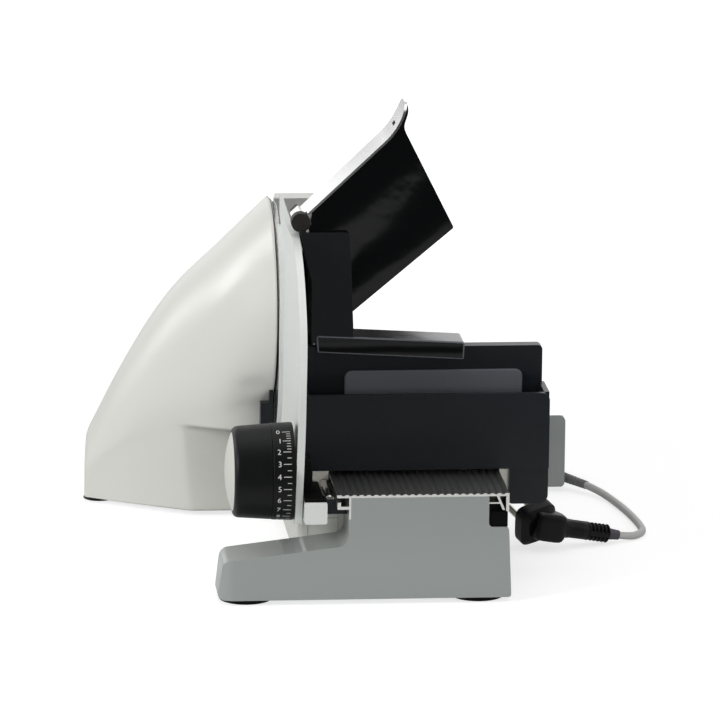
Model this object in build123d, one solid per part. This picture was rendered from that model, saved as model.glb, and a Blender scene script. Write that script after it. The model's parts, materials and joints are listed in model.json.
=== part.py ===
from build123d import *
from math import atan2, cos, hypot, pi, radians, sin, sqrt, tan
import os

# Frame while modelling: X to the right from the cutting plane, Y backwards from
# the front foot's face, Z up from the table, all in millimetres.

# Shared clearances and walls
rest_height = 3.5
casting_wall = 3.5
plate_floor = 3.0
moving_gap = 0.4
running_gap = 0.05

# Blade and drive
blade_diameter = 170.0
blade_y = 240.0
blade_z = 135.0
blade_left = -2.6
blade_right = -0.6
gear_module = 1.0
gear_teeth = 64
pinion_teeth = 18
gear_left = -27.0
gear_right = -17.0
drive_angle = 36.0
shaft_radius = 6.0
rotor_shaft_radius = 4.0
stator_radius = 19.0
stator_left = -66.0
stator_right = -46.0
rotor_radius = 13.0

# Feet, beam and track
front_depth = 38.5
wing_end = -56.6
wing_end_top = 30.0
wing_root_top = 40.0
foot_left = 29.4
rear_front = 290.0
rear_depth = 50.0
box_right = 209.0
box_top = 55.4
panel_slope = 14.5
beam_left = 2.0
beam_end = 300.0
track_left = 21.5
track_right = 135.3
track_top = 74.4
track_skin = 2.0
web_thickness = 1.4
track_length = 335.0
rib_pitch = 4.8
rib_depth = 0.7
suction_radius = 17.5
heel_radius = 8.5
suction_places = ((-37, 20), (117, 20), (-120, 296), (193, 322))

# Guide rod
rod_x_place = 18.0
rod_drop = 7.4
rod_radius = 3.3
rod_front = 16.0
rod_back = 330.0
rod_block_length = 12.0

# Stop plate and its setting drive
plate_rim = 4.8
plate_sheet = 2.2
plate_bottom = 51.0
plate_back = 212.0
blade_gap = 3.5
plate_travel = 20.0
knob_y = 35.0
knob_rise = 8.1
knob_radius = 32.4
knob_small_radius = 30.0
knob_left = -45.4
knob_right = -5.5
ring_left = -20.0
cap_radius = 26.0
cap_height = 4.6
spindle_radius = 4.0
guide_bar_radius = 4.0
guide_bar_places = (100.0, 168.0)
guide_bar_z = 44.0

# Carriage
carriage_left = 4.0
carriage_lift = 2.6
carriage_overhang = 32.7
near_wall_height = 51.5
back_wall_height = 76.6
trough_height = 15.0
skirt_gap = 6.7
skirt_depth = 25.0
near_wall_y = 55.0
back_wall_y = 88.0
back_wall_depth = 10.0
tray_back = 200.0
shell_wall = 3.5

# Remnant holder and flap
holder_near = 80.0
holder_far = 107.0
pusher_far = 128.0
hinge_x = 3.4
hinge_rise = 85.8
barrel_radius = 6.4
pin_radius = 2.5
knuckle_length = 8.0
flap_near = 84.3
flap_far = 119.0
flap_tilt = 43.3
flap_sheet = 1.6
flap_wall = 2.5

# Motor housing
housing_left = -130.0
housing_right = -4.0
housing_back = 335.0
recess_left = -62.0
recess_back = 239.0
recess_top = 64.0
hood_right = 30.0
hood_gap = 5.0
hood_wall = 4.0
plate_gap = 1.0
bearing_plate_depth = 7.0

# Cord and plug
cord_radius = 2.6
gland_length = 22.0

# Derived places
casting_floor = rest_height + plate_floor
foot_top = track_top - track_skin
foot_step = track_right - 13.3
foot_step_top = track_top - 23.0
foot_right = track_right + 0.7
web_low = track_top - 16.5
lip_low = track_top - 9.8
lip_high = lip_low + track_skin
wall_low = track_top - 12.2
beam_top = web_low - 4.9
rod_z_place = track_top - rod_drop
knob_z = track_top + knob_rise
carriage_bottom = track_top + carriage_lift
carriage_right = track_right + carriage_overhang
near_wall_top = carriage_bottom + near_wall_height
back_wall_top = carriage_bottom + back_wall_height
trough_floor = carriage_bottom + trough_height
skirt_left = track_right + skirt_gap
skirt_bottom = carriage_bottom - skirt_depth
hinge_z = back_wall_top + hinge_rise
rear_back = rear_front + rear_depth
blade_radius = blade_diameter / 2
hood_inner = blade_radius + hood_gap
hood_outer = hood_inner + hood_wall
gear_radius = gear_module * gear_teeth / 2
pinion_radius = gear_module * pinion_teeth / 2
motor_y = blade_y + (gear_radius + pinion_radius) * cos(radians(drive_angle))
motor_z = blade_z - (gear_radius + pinion_radius) * sin(radians(drive_angle))
origin_x = (housing_left + suction_places[3][0] + suction_radius) / 2
origin_y = (rear_back - 8.5) / 2


def block(x0, x1, y0, y1, z0, z1):
    middle = Pos((x0 + x1) / 2, (y0 + y1) / 2, (z0 + z1) / 2)
    return middle * Box(x1 - x0, y1 - y0, z1 - z0)


def rod_x(x0, x1, y, z, radius):
    return Pos((x0 + x1) / 2, y, z) * Rot(0, 90, 0) * Cylinder(radius, x1 - x0)


def rod_y(y0, y1, x, z, radius):
    return Pos(x, (y0 + y1) / 2, z) * Rot(90, 0, 0) * Cylinder(radius, y1 - y0)


def rod_z(z0, z1, x, y, radius):
    return Pos(x, y, (z0 + z1) / 2) * Cylinder(radius, z1 - z0)


def tube_x(x0, x1, y, z, outer, inner):
    return rod_x(x0, x1, y, z, outer) - rod_x(x0 - 1, x1 + 1, y, z, inner)


def outline(*corners):
    # Closed face through corners given as (u, v, rounding radius)
    cut = []
    for i in range(len(corners)):
        u, v, radius = corners[i]
        ends = []
        for other in (corners[i - 1], corners[(i + 1) % len(corners)]):
            length = hypot(other[0] - u, other[1] - v)
            ends.append(((other[0] - u) / length, (other[1] - v) / length))
        half = half_angle(ends[0], ends[1])
        reach = radius / tan(half)
        bisector = (ends[0][0] + ends[1][0], ends[0][1] + ends[1][1])
        size = hypot(*bisector)
        far = radius / sin(half) - radius
        start = (u + ends[0][0] * reach, v + ends[0][1] * reach)
        end = (u + ends[1][0] * reach, v + ends[1][1] * reach)
        middle = (u + bisector[0] / size * far, v + bisector[1] / size * far) if radius else None
        cut.append((start, middle, end))
    edges = []
    for i in range(len(cut)):
        start, middle, end = cut[i]
        if middle:
            edges.append(ThreePointArc(start, middle, end))
        edges.append(Line(end, cut[(i + 1) % len(cut)][0]))
    return make_face(edges)


def half_angle(first, second):
    cross = first[0] * second[1] - first[1] * second[0]
    dot = first[0] * second[0] + first[1] * second[1]
    return abs(atan2(cross, dot)) / 2


def slab_x(face, x0, x1):
    return extrude(Plane.YZ.offset(x0) * face, amount=x1 - x0, dir=(1, 0, 0))


def slab_y(face, y0, y1):
    return extrude(Plane.XZ.offset(-y0) * face, amount=y1 - y0, dir=(0, 1, 0))


def slab_z(face, z0, z1):
    return extrude(Plane.XY.offset(z0) * face, amount=z1 - z0, dir=(0, 0, 1))


def turned_x(profile, y, z):
    # Solid of revolution about the X direction from a face drawn as (x, radius)
    return Pos(0, y, z) * revolve(profile, Axis.X)


def gear(x0, x1, y, z, teeth, module, turn):
    # Straight teeth with backlash, slightly short so that a pair never touches
    root = module * (teeth / 2 - 1.15)
    tip = module * (teeth / 2 + 0.8)
    step = 2 * pi / teeth
    points = []
    for i in range(teeth):
        middle = turn + i * step
        for radius, share in ((root, -0.36), (tip, -0.11), (tip, 0.11), (root, 0.36)):
            angle = middle + share * step
            points.append((radius * cos(angle), radius * sin(angle)))
    face = make_face(Polyline(*points, close=True))
    return Pos(0, y, z) * slab_x(face, x0, x1)


def screw(place, head_radius, length, direction):
    # Round headed screw: head outwards from the place, shank into the piece
    head = Cylinder(head_radius, 1.6, align=(Align.CENTER, Align.CENTER, Align.MIN))
    slot = Pos(0, 0, 1.6) * Box(2 * head_radius, 0.9, 1.2)
    shank = Cylinder(head_radius * 0.5, length, align=(Align.CENTER, Align.CENTER, Align.MAX))
    return Plane(origin=place, z_dir=direction) * (head - slot + shank)


def shank_hole(place, head_radius, length, direction):
    hole = Cylinder(head_radius * 0.5, length, align=(Align.CENTER, Align.CENTER, Align.MAX))
    return Plane(origin=place, z_dir=direction) * hole


# Suction feet: soft discs with a stem that plugs into the casting above

def suction_foot(place, radius):
    x, y = place
    on_table = (Align.CENTER, Align.CENTER, Align.MIN)
    cup = Cone(radius, radius - 1.5, rest_height, align=on_table)
    stem = rod_z(rest_height, casting_floor + 6, 0, 0, 4)
    return Pos(x, y, 0) * (cup + stem)


def foot_socket(place):
    return rod_z(rest_height - 1, casting_floor + 6, place[0], place[1], 4)


foot_radii = (suction_radius, suction_radius, heel_radius, suction_radius)
suction_feet = [suction_foot(place, radius) for place, radius in zip(suction_places, foot_radii)]

# Front foot with its closed underside

front_profile = outline(
    (wing_end, rest_height, 3),
    (wing_end + 3.4, wing_end_top, 6),
    (foot_left, wing_root_top, 8),
    (foot_left, foot_top, 0),
    (foot_step, foot_top, 0),
    (foot_step, foot_step_top, 3),
    (foot_right - 0.6, foot_step_top, 3),
    (foot_right + 1.6, rest_height, 2),
)
front_plan = outline(
    (wing_end - 1, 0, 12),
    (foot_right + 2, 0, 1),
    (foot_right + 2, front_depth, 3),
    (wing_end - 1, front_depth, 12),
)
front_outer = slab_y(front_profile, 0, front_depth) & slab_z(front_plan, 0, 100)
front_hollow = slab_y(offset(front_profile, -casting_wall), casting_wall, front_depth - casting_wall)
front_hollow = front_hollow + Pos(0, 0, -2 * casting_wall) * front_hollow
front_plan_inside = slab_z(offset(front_plan, -casting_wall), -50, 100)
front_hollow = front_hollow & front_plan_inside
front_pillars = rod_z(casting_floor, 34, *suction_places[0], 8)
front_pillars = front_pillars + rod_z(casting_floor, 60, *suction_places[1], 8)
web_notch = block(foot_left - 1, foot_left + web_thickness, -1, front_depth + 1, web_low, track_top)
front_sockets = foot_socket(suction_places[0]) + foot_socket(suction_places[1])
front_foot = front_outer - front_hollow + (front_pillars & front_outer) - web_notch - front_sockets
front_foot_base = (front_hollow & block(-200, 300, -50, 400, rest_height, casting_floor)) - front_sockets

# Rear foot: the right wing is the cord and switch box, its top slopes down to the back

rear_profile = outline(
    (foot_left, rest_height, 2),
    (foot_left, foot_top, 0),
    (track_right, foot_top, 2),
    (track_right, box_top, 0),
    (box_right, box_top, 5),
    (box_right, rest_height, 3),
)
slope = radians(panel_slope)


def above_panel(left, depth):
    # Everything higher than the sloping top of the box, moved down square to it by the depth
    low = depth / cos(slope)
    fall = (rear_depth + 2) * tan(slope)
    face = make_face(Polyline(
        (rear_front - 1, box_top - low + tan(slope)), (rear_back + 1, box_top - low + tan(slope) - fall),
        (rear_back + 1, box_top + 40), (rear_front - 1, box_top + 40), close=True))
    return slab_x(face, left, box_right + 20)


rear_outer = slab_y(rear_profile, rear_front, rear_back) - above_panel(track_right, 0)
rear_hollow = slab_y(offset(rear_profile, -casting_wall), rear_front + casting_wall, rear_back - casting_wall)
rear_hollow = rear_hollow - above_panel(track_right - casting_wall, casting_wall)
rear_hollow = rear_hollow + Pos(0, 0, -2 * casting_wall) * rear_hollow
rear_pillar = rod_z(casting_floor, box_top - 1, *suction_places[3], 7)
button_x = 172.0
button_side = 13.0
button_places = (15.0, 36.0)
panel = Plane(origin=(button_x, rear_front, box_top), x_dir=(1, 0, 0), z_dir=(0, sin(slope), cos(slope)))
button_holes = []
for place in button_places:
    hole_side = button_side + 2 * moving_gap
    button_holes.append(panel * Pos(0, place, 0) * Box(hole_side, hole_side, 20))
gland_exit = Vector(box_right, rear_front + 10.5, 8.2)
gland_heading = Vector(cos(radians(-40)), sin(radians(-40)), -0.045).normalized()
gland_depth = 9.0
gland = Plane(origin=gland_exit - gland_heading * gland_depth, z_dir=gland_heading) * Cone(
    4.6, cord_radius + 0.7, gland_depth + gland_length, align=(Align.CENTER, Align.CENTER, Align.MIN))
cord_start = gland_exit + gland_heading * gland_length
web_notch_rear = block(foot_left - 1, foot_left + web_thickness, rear_front - 1, rear_back + 1,
                       web_low, track_top)
rear_foot = rear_outer - rear_hollow + (rear_pillar & rear_outer) - web_notch_rear
rear_foot = rear_foot - foot_socket(suction_places[3]) - gland - button_holes
rear_foot_cover = rear_hollow & block(-200, 300, -50, 400, rest_height, casting_floor)
rear_foot_cover = rear_foot_cover - foot_socket(suction_places[3]) - gland

# Switch with two sprung buttons under the sloping top

switch_room = 9.5
switch_body = block(button_x - 12, button_x + 12, rear_front + 5, rear_back - 5, casting_floor, box_top)
switch_body = switch_body - above_panel(button_x - 20, switch_room)


def push_button(place):
    def square(half, low, high):
        return block(-half, half, place - half, place + half, low, high)

    cap = square(button_side / 2, -2, 3)
    cap = fillet(cap.edges().group_by(Axis.Z)[-1], 1.2)
    neck = square(button_side / 2, -casting_wall - 2, -2)
    collar = square(button_side / 2 + 1.6, -casting_wall - 2, -casting_wall - moving_gap)
    return panel * (cap + neck + collar)


power_button = push_button(button_places[0])
pulse_button = push_button(button_places[1])

# Base beam between the feet

beam_profile = outline((beam_left, casting_floor, 2), (beam_left, beam_top, 3), (foot_left, beam_top, 1),
                       (foot_left, casting_floor, 1))
bush_radius = guide_bar_radius + 2.5
base_beam = slab_y(beam_profile, front_depth, beam_end)
base_beam = base_beam - slab_y(offset(beam_profile, -casting_wall), front_depth - 1, beam_end + 1)
bush_bore = guide_bar_radius + running_gap
guide_bushes = []
for y in guide_bar_places:
    base_beam = base_beam + rod_x(beam_left + 1, foot_left - 1, y, guide_bar_z, bush_radius + 1.2)
    base_beam = base_beam - rod_x(beam_left - 5, foot_left + 5, y, guide_bar_z, bush_radius)
    guide_bushes.append(tube_x(beam_left, foot_left, y, guide_bar_z, bush_radius, bush_bore))

# Carriage track: ribbed top on thin walls, one extruded section

rib_points = [(track_left, foot_top)]
rib_count = int((track_right - track_left) / rib_pitch)
rib_start = track_left + (track_right - track_left - rib_count * rib_pitch) / 2
rib_points.append((track_left, track_top))
for i in range(rib_count):
    low = rib_start + i * rib_pitch
    rib_points.append((low + 0.2 * rib_pitch, track_top))
    rib_points.append((low + 0.35 * rib_pitch, track_top - rib_depth))
    rib_points.append((low + 0.65 * rib_pitch, track_top - rib_depth))
    rib_points.append((low + 0.8 * rib_pitch, track_top))
rib_points.append((track_right, track_top))
rib_points.append((track_right, foot_top))
track_sheet = make_face(Polyline(*rib_points, close=True))
web_right = foot_left + web_thickness
lip_left = track_left + 0.3
brace_low = track_top - 11.4
carriage_track = slab_y(track_sheet, 0, track_length)
for corners in (
    ((foot_left, web_low), (web_right, web_low), (web_right, foot_top), (foot_left, foot_top)),
    ((lip_left, lip_low), (foot_left, lip_low), (foot_left, lip_high), (lip_left, lip_high)),
    ((lip_left, lip_high), (lip_left + 2.2, lip_high), (lip_left + 2.2, foot_top - 3),
     (lip_left, foot_top - 3)),
    ((track_right - 2.1, wall_low), (track_right, wall_low), (track_right, foot_top),
     (track_right - 2.1, foot_top)),
    ((track_right - 8.4, foot_top), (track_right - 6.8, foot_top), (track_right - 2.7, brace_low),
     (track_right - 4.3, brace_low)),
    ((foot_step, foot_top - 5.1), (track_right - 5.5, foot_top - 5.1), (track_right - 5.5, foot_top - 4.1),
     (foot_step, foot_top - 4.1)),
):
    carriage_track = carriage_track + slab_y(make_face(Polyline(*corners, close=True)), 0, track_length)
carriage_track = carriage_track - rear_outer

# Guide rod in its two end blocks, which hang on the track's web

guide_rod = rod_y(rod_front, rod_back, rod_x_place, rod_z_place, rod_radius)
guide_rod = chamfer(guide_rod.edges().filter_by(GeomType.CIRCLE), 0.8)


def rod_block(y0):
    y1 = y0 + rod_block_length
    low = block(rod_x_place - 3.8, foot_left, y0, y1, web_low, lip_low)
    high = block(rod_x_place - 3.8, track_left + 0.3, y0, y1, rod_z_place - 7, rod_z_place + 0.5)
    return low + high - guide_rod


rod_blocks = [rod_block(rod_front - 1), rod_block(rod_back - rod_block_length + 1)]

# Motor housing: a thin skin lofted from the low left end up to the blade side


def housing_section(x, form, inset, low):
    crown, back_shoulder, front_shoulder, front_bulge, front_low, front_bottom = form
    sill = front_bottom + inset
    edges = [
        Line((sill, low), (housing_back - inset, low)),
        Line((housing_back - inset, low), (housing_back - inset, back_shoulder - inset)),
        ThreePointArc((housing_back - inset, back_shoulder - inset), (crown[0], crown[1] - inset),
                      (front_shoulder[0] + inset * 0.8, front_shoulder[1] - inset * 0.6)),
        ThreePointArc((front_shoulder[0] + inset * 0.8, front_shoulder[1] - inset * 0.6),
                      (front_bulge[0] + inset, front_bulge[1]),
                      (front_low[0] + inset, front_low[1])),
        Line((front_low[0] + inset, front_low[1]), (sill, low)),
    ]
    return Plane.YZ.offset(x) * make_face(edges)


housing_stations = (
    ((305, 43.1), 30, (284, 30.5), (281, 26), (280, 20), 280),
    ((290, 90.3), 65, (265, 64), (262.5, 54), (263, 42), 264),
    ((275, 145.8), 102, (243, 114.5), (239, 94), (242, 70), 243.6),
    ((262, 187.7), 130, (215, 163), (206, 137), (222, 95), 224),
    ((250, 216.8), 149, (197, 187.5), (183, 158), (215, 95), 217),
)
station_x = (housing_left, -105.0, -70.0, -35.0, housing_right)
inner_x = (housing_left + casting_wall, -105.0, -70.0, -35.0, housing_right)
housing_outer = loft([housing_section(x, form, 0, rest_height)
                      for x, form in zip(station_x, housing_stations)])
housing_inner = loft([housing_section(x, form, casting_wall, rest_height - 2)
                      for x, form in zip(inner_x, housing_stations)])


def recess(grow):
    face = outline((recess_left - grow, -5, 0), (recess_left - grow, recess_top + grow, 14 + grow),
                   (20, recess_top + grow, 0), (20, -5, 0))
    return slab_y(face, 100, recess_back + grow)


housing_inner = housing_inner - recess(casting_wall)
plate_slot = block(housing_right - 10, housing_right + 1, 252, beam_end, 0, casting_floor)
motor_housing = housing_outer - recess(0) - housing_inner - plate_slot
housing_base = housing_inner & block(-200, 50, 0, 400, rest_height, casting_floor)
housing_base = housing_base + block(housing_right - 8, foot_left, 252, beam_end, rest_height, casting_floor)
housing_base = housing_base - foot_socket(suction_places[2])
screw_head = 3.2
screw_length = 9.0
screw_places = [(-52, 320), (-20, 320), (10, 262), (10, 290)]
housing_screws = []
for x, y in screw_places:
    place = (x, y, rest_height)
    housing_screws.append(screw(place, screw_head, screw_length, (0, 0, -1)))
    housing_base = housing_base - shank_hole(place, screw_head, screw_length, (0, 0, -1))
    base_beam = base_beam - shank_hole(place, screw_head, screw_length, (0, 0, -1))
for x, y in screw_places[:2]:
    motor_housing = motor_housing + rod_z(casting_floor, casting_floor + 14, x, y, 5) + block(
        x - 5, x + 5, y, housing_back - casting_wall + 0.5, casting_floor, casting_floor + 14)
    motor_housing = motor_housing - shank_hole((x, y, rest_height), screw_head, screw_length, (0, 0, -1))

# Bearing plate that closes the housing towards the blade, and the gear frame behind it

plate_left = housing_right - plate_gap - bearing_plate_depth
plate_right = housing_right - plate_gap
bearing_boss_radius = shaft_radius + 8
bearing_radius = shaft_radius + 4
bearing_plate = housing_inner & block(plate_left, plate_right, 0, 400, casting_floor, 300)
bearing_plate = bearing_plate + rod_x(gear_right + 1, plate_left, blade_y, blade_z, bearing_boss_radius)
bearing_plate = bearing_plate - rod_x(gear_right, plate_right + 1, blade_y, blade_z, bearing_radius)
frame_left = -40.0
frame_right = -36.0
frame_posts = ((blade_y - 2, blade_z - 43), (blade_y + 22, blade_z + 36), (blade_y + 60, blade_z - 35))
frame_face = outline((blade_y - 8, blade_z - 49, 5), (blade_y - 16, blade_z + 5, 10),
                     (blade_y + 18, blade_z + 44, 9), (blade_y + 69, blade_z - 23, 10),
                     (blade_y + 66, blade_z - 49, 8))
gear_frame = slab_x(frame_face, frame_left, frame_right)
for y, z in frame_posts:
    gear_frame = gear_frame + rod_x(frame_right, plate_left, y, z, 4)
gear_frame = gear_frame - rod_x(frame_left - 1, frame_right + 1, blade_y, blade_z, bearing_radius)
rotor_bearing_radius = rotor_shaft_radius + 3.5
gear_frame = gear_frame - rod_x(frame_left - 1, frame_right + 1, motor_y, motor_z, rotor_bearing_radius)

# Motor: stator, windings, rear bracket, rotor

winding_length = 4.0
winding_radius = stator_radius - 2.5
winding_bore = rotor_radius + 1.2
bracket_left = stator_left - winding_length - 5
motor_stator = tube_x(stator_left, stator_right, motor_y, motor_z, stator_radius, rotor_radius + moving_gap)
stator_windings = [
    tube_x(stator_right, frame_left, motor_y, motor_z, winding_radius, winding_bore),
    tube_x(stator_left - winding_length, stator_left, motor_y, motor_z, winding_radius, winding_bore)]
motor_bracket = rod_x(bracket_left, stator_left, motor_y, motor_z, stator_radius)
motor_bracket = motor_bracket - rod_x(bracket_left + 3, stator_left + 1, motor_y, motor_z, winding_radius)
motor_bracket = motor_bracket - rod_x(bracket_left - 1, stator_left, motor_y, motor_z, rotor_bearing_radius)
shaft_bore = shaft_radius + running_gap
rotor_bore = rotor_shaft_radius + running_gap
shaft_bearings = [
    tube_x(gear_right + 1, plate_right, blade_y, blade_z, bearing_radius, shaft_bore),
    tube_x(frame_left, frame_right, blade_y, blade_z, bearing_radius, shaft_bore),
    tube_x(frame_left, frame_right, motor_y, motor_z, rotor_bearing_radius, rotor_bore),
    tube_x(bracket_left, bracket_left + 3, motor_y, motor_z, rotor_bearing_radius, rotor_bore),
]
rotor_core = tube_x(stator_left - 1, stator_right + 1, motor_y, motor_z, rotor_radius, rotor_shaft_radius)
fan_face = Circle(12) - Circle(rotor_shaft_radius)
for i in range(8):
    fan_face = fan_face - Rot(0, 0, i * 45) * Pos(8.4, 0) * Ellipse(2.2, 1.9)
cooling_fan = Pos(0, motor_y, motor_z) * slab_x(fan_face, bracket_left - 5, bracket_left - 2)

# Blade, hub, shaft and gears

mesh_angle = -radians(drive_angle)
drive_gear = gear(gear_left, gear_right, blade_y, blade_z, gear_teeth, gear_module, mesh_angle)
drive_gear = drive_gear - rod_x(gear_left - 1, gear_right + 1, blade_y, blade_z, shaft_radius)
pinion_turn = mesh_angle + pi + pi / pinion_teeth
rotor_shaft = rod_x(bracket_left - 7, gear_right + 1, motor_y, motor_z, rotor_shaft_radius)
pinion = gear(gear_left, gear_right, motor_y, motor_z, pinion_teeth, gear_module, pinion_turn)
rotor_shaft = rotor_shaft + pinion
hub_radius = 30.0
lock_radius = 9.0
blade_profile = make_face(Polyline(
    (blade_left, lock_radius), (blade_left, blade_radius - 6), (blade_right - 0.3, blade_radius),
    (blade_right, blade_radius), (blade_right, lock_radius), close=True))
blade = turned_x(blade_profile, blade_y, blade_z)
wave_count = 60
blade_waves = []
for i in range(wave_count):
    angle = 2 * pi * i / wave_count
    blade_waves.append(rod_x(blade_left - 1, blade_right + 1, blade_y + (blade_radius + 2.2) * cos(angle),
                             blade_z + (blade_radius + 2.2) * sin(angle), 3.2))
blade = blade - blade_waves
hub_left = plate_right + moving_gap
blade_hub = rod_x(hub_left, blade_left, blade_y, blade_z, hub_radius)
blade_hub = blade_hub - rod_x(hub_left - 1, blade_left + 1, blade_y, blade_z, shaft_radius)
blade_shaft = rod_x(frame_left - 2, blade_left, blade_y, blade_z, shaft_radius)
blade_shaft = blade_shaft - rod_x(blade_left - 6, blade_left + 1, blade_y, blade_z, 2.5)
blade_bolt = rod_x(blade_left, blade_right, blade_y, blade_z, lock_radius)
blade_bolt = blade_bolt + rod_x(blade_left - 6, blade_left, blade_y, blade_z, 2.5)
bolt_slot = Pos(blade_right, blade_y, blade_z) * Box(1.6, 12, 2)
blade_bolt = blade_bolt - bolt_slot

# Blade hood: the rim behind the blade

hood_low = 20.0
hood_joint_end = 42.0
hood_end = 62.0
hood_step = 2.0


def hood_face(end):
    def on_ring(radius, angle):
        return (blade_y + radius * cos(radians(angle)), blade_z + radius * sin(radians(angle)))

    return make_face([
        CenterArc((blade_y, blade_z), hood_outer, hood_low, end - hood_low),
        Line(on_ring(hood_outer, end), on_ring(hood_inner, end)),
        CenterArc((blade_y, blade_z), hood_inner, hood_low, end - hood_low),
        Line(on_ring(hood_inner, hood_low), on_ring(hood_outer, hood_low)),
    ])


blade_hood = slab_x(hood_face(hood_joint_end), plate_right, hood_step) - housing_outer
blade_hood = blade_hood + slab_x(hood_face(hood_end), hood_step, hood_right)

# Black plate guide on the housing's edge beside the plate

guide_low = blade_z - blade_radius + 12
guide_front = blade_y - 37
guide_back = blade_y - 16
guide_right = housing_right - 0.3
plate_guide = block(housing_right - 9, guide_right, guide_front, guide_back, guide_low, guide_low + 26)
plate_guide = plate_guide + block(housing_right - 3, guide_right, guide_front, guide_back,
                                  guide_low, guide_low + 35)
plate_guide = plate_guide - housing_outer

# Stop plate: sheet with a stiff rim, cut round for the blade

arc_radius = blade_radius + blade_gap
arc_low = 60.0


def plate_face(inset):
    front = Spline((17 + inset, plate_bottom + inset), (3 + inset, 94), (-8 + inset, 140), (-1 + inset, 177),
                   (33 + inset * 0.5, 205 - inset), (105, 225 - inset), (plate_back - inset, 232 - inset))
    reach = arc_radius + inset
    top = blade_z + sqrt(reach ** 2 - (blade_y - plate_back + inset) ** 2)
    low_y = blade_y - sqrt(reach ** 2 - (blade_z - arc_low) ** 2)
    return make_face([
        front,
        Line((plate_back - inset, 232 - inset), (plate_back - inset, top)),
        ThreePointArc((plate_back - inset, top), (blade_y - reach, blade_z), (low_y, arc_low)),
        Line((low_y, arc_low), (low_y - 8, plate_bottom + inset)),
        Line((low_y - 8, plate_bottom + inset), (17 + inset, plate_bottom + inset)),
    ])


stop_plate = slab_x(plate_face(0), -plate_rim, 0) - slab_x(plate_face(4.0), -plate_rim - 1, -plate_sheet)
spindle_hole = rod_x(-10, 10, knob_y, knob_z, spindle_radius + 2.5)
rim_taper = make_face(Polyline((-plate_rim - 1, 120), (-plate_rim, 120), (-plate_sheet, plate_back - 20),
                               (-plate_sheet, plate_back + 5), (-plate_rim - 1, plate_back + 5), close=True))
stop_plate = stop_plate - spindle_hole - slab_z(rim_taper, 214, 300)
carrier_left = -13.0
carrier_face = outline((guide_bar_places[0] - 10, guide_bar_z - 7, 6), (guide_bar_places[0] - 10, 66, 6),
                       (guide_bar_places[1] + 10, 66, 6), (guide_bar_places[1] + 10, guide_bar_z - 7, 6))
plate_carrier = slab_x(carrier_face, carrier_left, -plate_rim)
carrier_pad = slab_x(carrier_face, -plate_rim, -plate_sheet) & slab_x(plate_face(4.4), -9, 0)
plate_carrier = plate_carrier + carrier_pad
for y in guide_bar_places:
    plate_carrier = plate_carrier - rod_x(carrier_left - 1, 0, y, guide_bar_z, guide_bar_radius)
guide_bar_end = foot_left + plate_travel - 4
guide_bars = [rod_x(carrier_left, guide_bar_end, y, guide_bar_z, guide_bar_radius) for y in guide_bar_places]

# Fixed spindle on its block and bracket at the front end of the beam

block_top = knob_z - 14.2
spindle_block = block(0.6, 15.6, 5, rod_front - 2, beam_top + 0.5, block_top)
spindle_block = fillet(spindle_block.edges().filter_by(Axis.Y), 1.5)
spindle_block = spindle_block + block(0.6, rod_x_place - 4.2, rod_front - 2, 54, beam_top, block_top)
bracket_top = knob_z + 10.5
bracket_shoulder = knob_z - 2.5
bracket_face = outline((knob_y - 15, block_top, 0), (knob_y - 15, bracket_shoulder, 6),
                       (knob_y - 8, bracket_top, 5), (knob_y + 8, bracket_top, 5),
                       (knob_y + 15, bracket_shoulder, 6), (knob_y + 15, block_top, 0))
spindle_bracket = slab_x(bracket_face, 0.6, 6.5)
spindle_bracket = spindle_bracket + block(0.6, 15.2, 5.4, rod_front - 2.4, block_top, block_top + 2.2)
spindle_bracket = spindle_bracket + block(0.6, rod_x_place - 4.6, rod_front - 2.4, 53.5, block_top,
                                          block_top + 2.2)
spindle_bracket = spindle_bracket - rod_x(0, 7, knob_y, knob_z, spindle_radius)
thread_spindle = rod_x(knob_left + 4, 6.5, knob_y, knob_z, spindle_radius)

# Setting knob: grip body, scale ring, cap, brass nut

nut_radius = spindle_radius + 4.0
hub_outer = nut_radius + 4.0
knob_wall = 4.0
skirt_radius = knob_radius - knob_wall
cap_peg_radius = 3.0
knob_profile = outline(
    (knob_left, cap_peg_radius, 0),
    (knob_left, knob_small_radius, 4),
    (ring_left, knob_radius - 0.7, 0),
    (ring_left, skirt_radius, 0),
    (knob_right, skirt_radius, 0),
    (knob_right, skirt_radius - knob_wall, 0),
    (knob_left + 6, skirt_radius - knob_wall, 3),
    (knob_left + 6, hub_outer, 2),
    (-plate_sheet - moving_gap, hub_outer, 0),
    (-plate_sheet - moving_gap, cap_peg_radius, 0),
)
knob_body = turned_x(knob_profile, knob_y, knob_z) - rod_x(knob_left + 2, 5, knob_y, knob_z, nut_radius)
knob_nut = tube_x(knob_left + 2, -plate_sheet - moving_gap, knob_y, knob_z, nut_radius,
                  spindle_radius + running_gap)
ring_profile = outline((ring_left, skirt_radius, 0), (ring_left, knob_radius - 0.5, 0.6),
                       (knob_right, knob_radius, 0.6), (knob_right, skirt_radius, 0))
scale_ring = turned_x(ring_profile, knob_y, knob_z)
dome_radius = (cap_radius ** 2 + cap_height ** 2) / (2 * cap_height)
knob_cap = Pos(knob_left - cap_height + dome_radius, knob_y, knob_z) * Sphere(dome_radius)
knob_cap = knob_cap & rod_x(knob_left - 2 * cap_height, knob_left, knob_y, knob_z, cap_radius + 1)
knob_cap = knob_cap + rod_x(knob_left - 1, knob_left + 2, knob_y, knob_z, cap_peg_radius)

# Carriage: two walls with a finger trough between them, a floor behind

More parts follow.
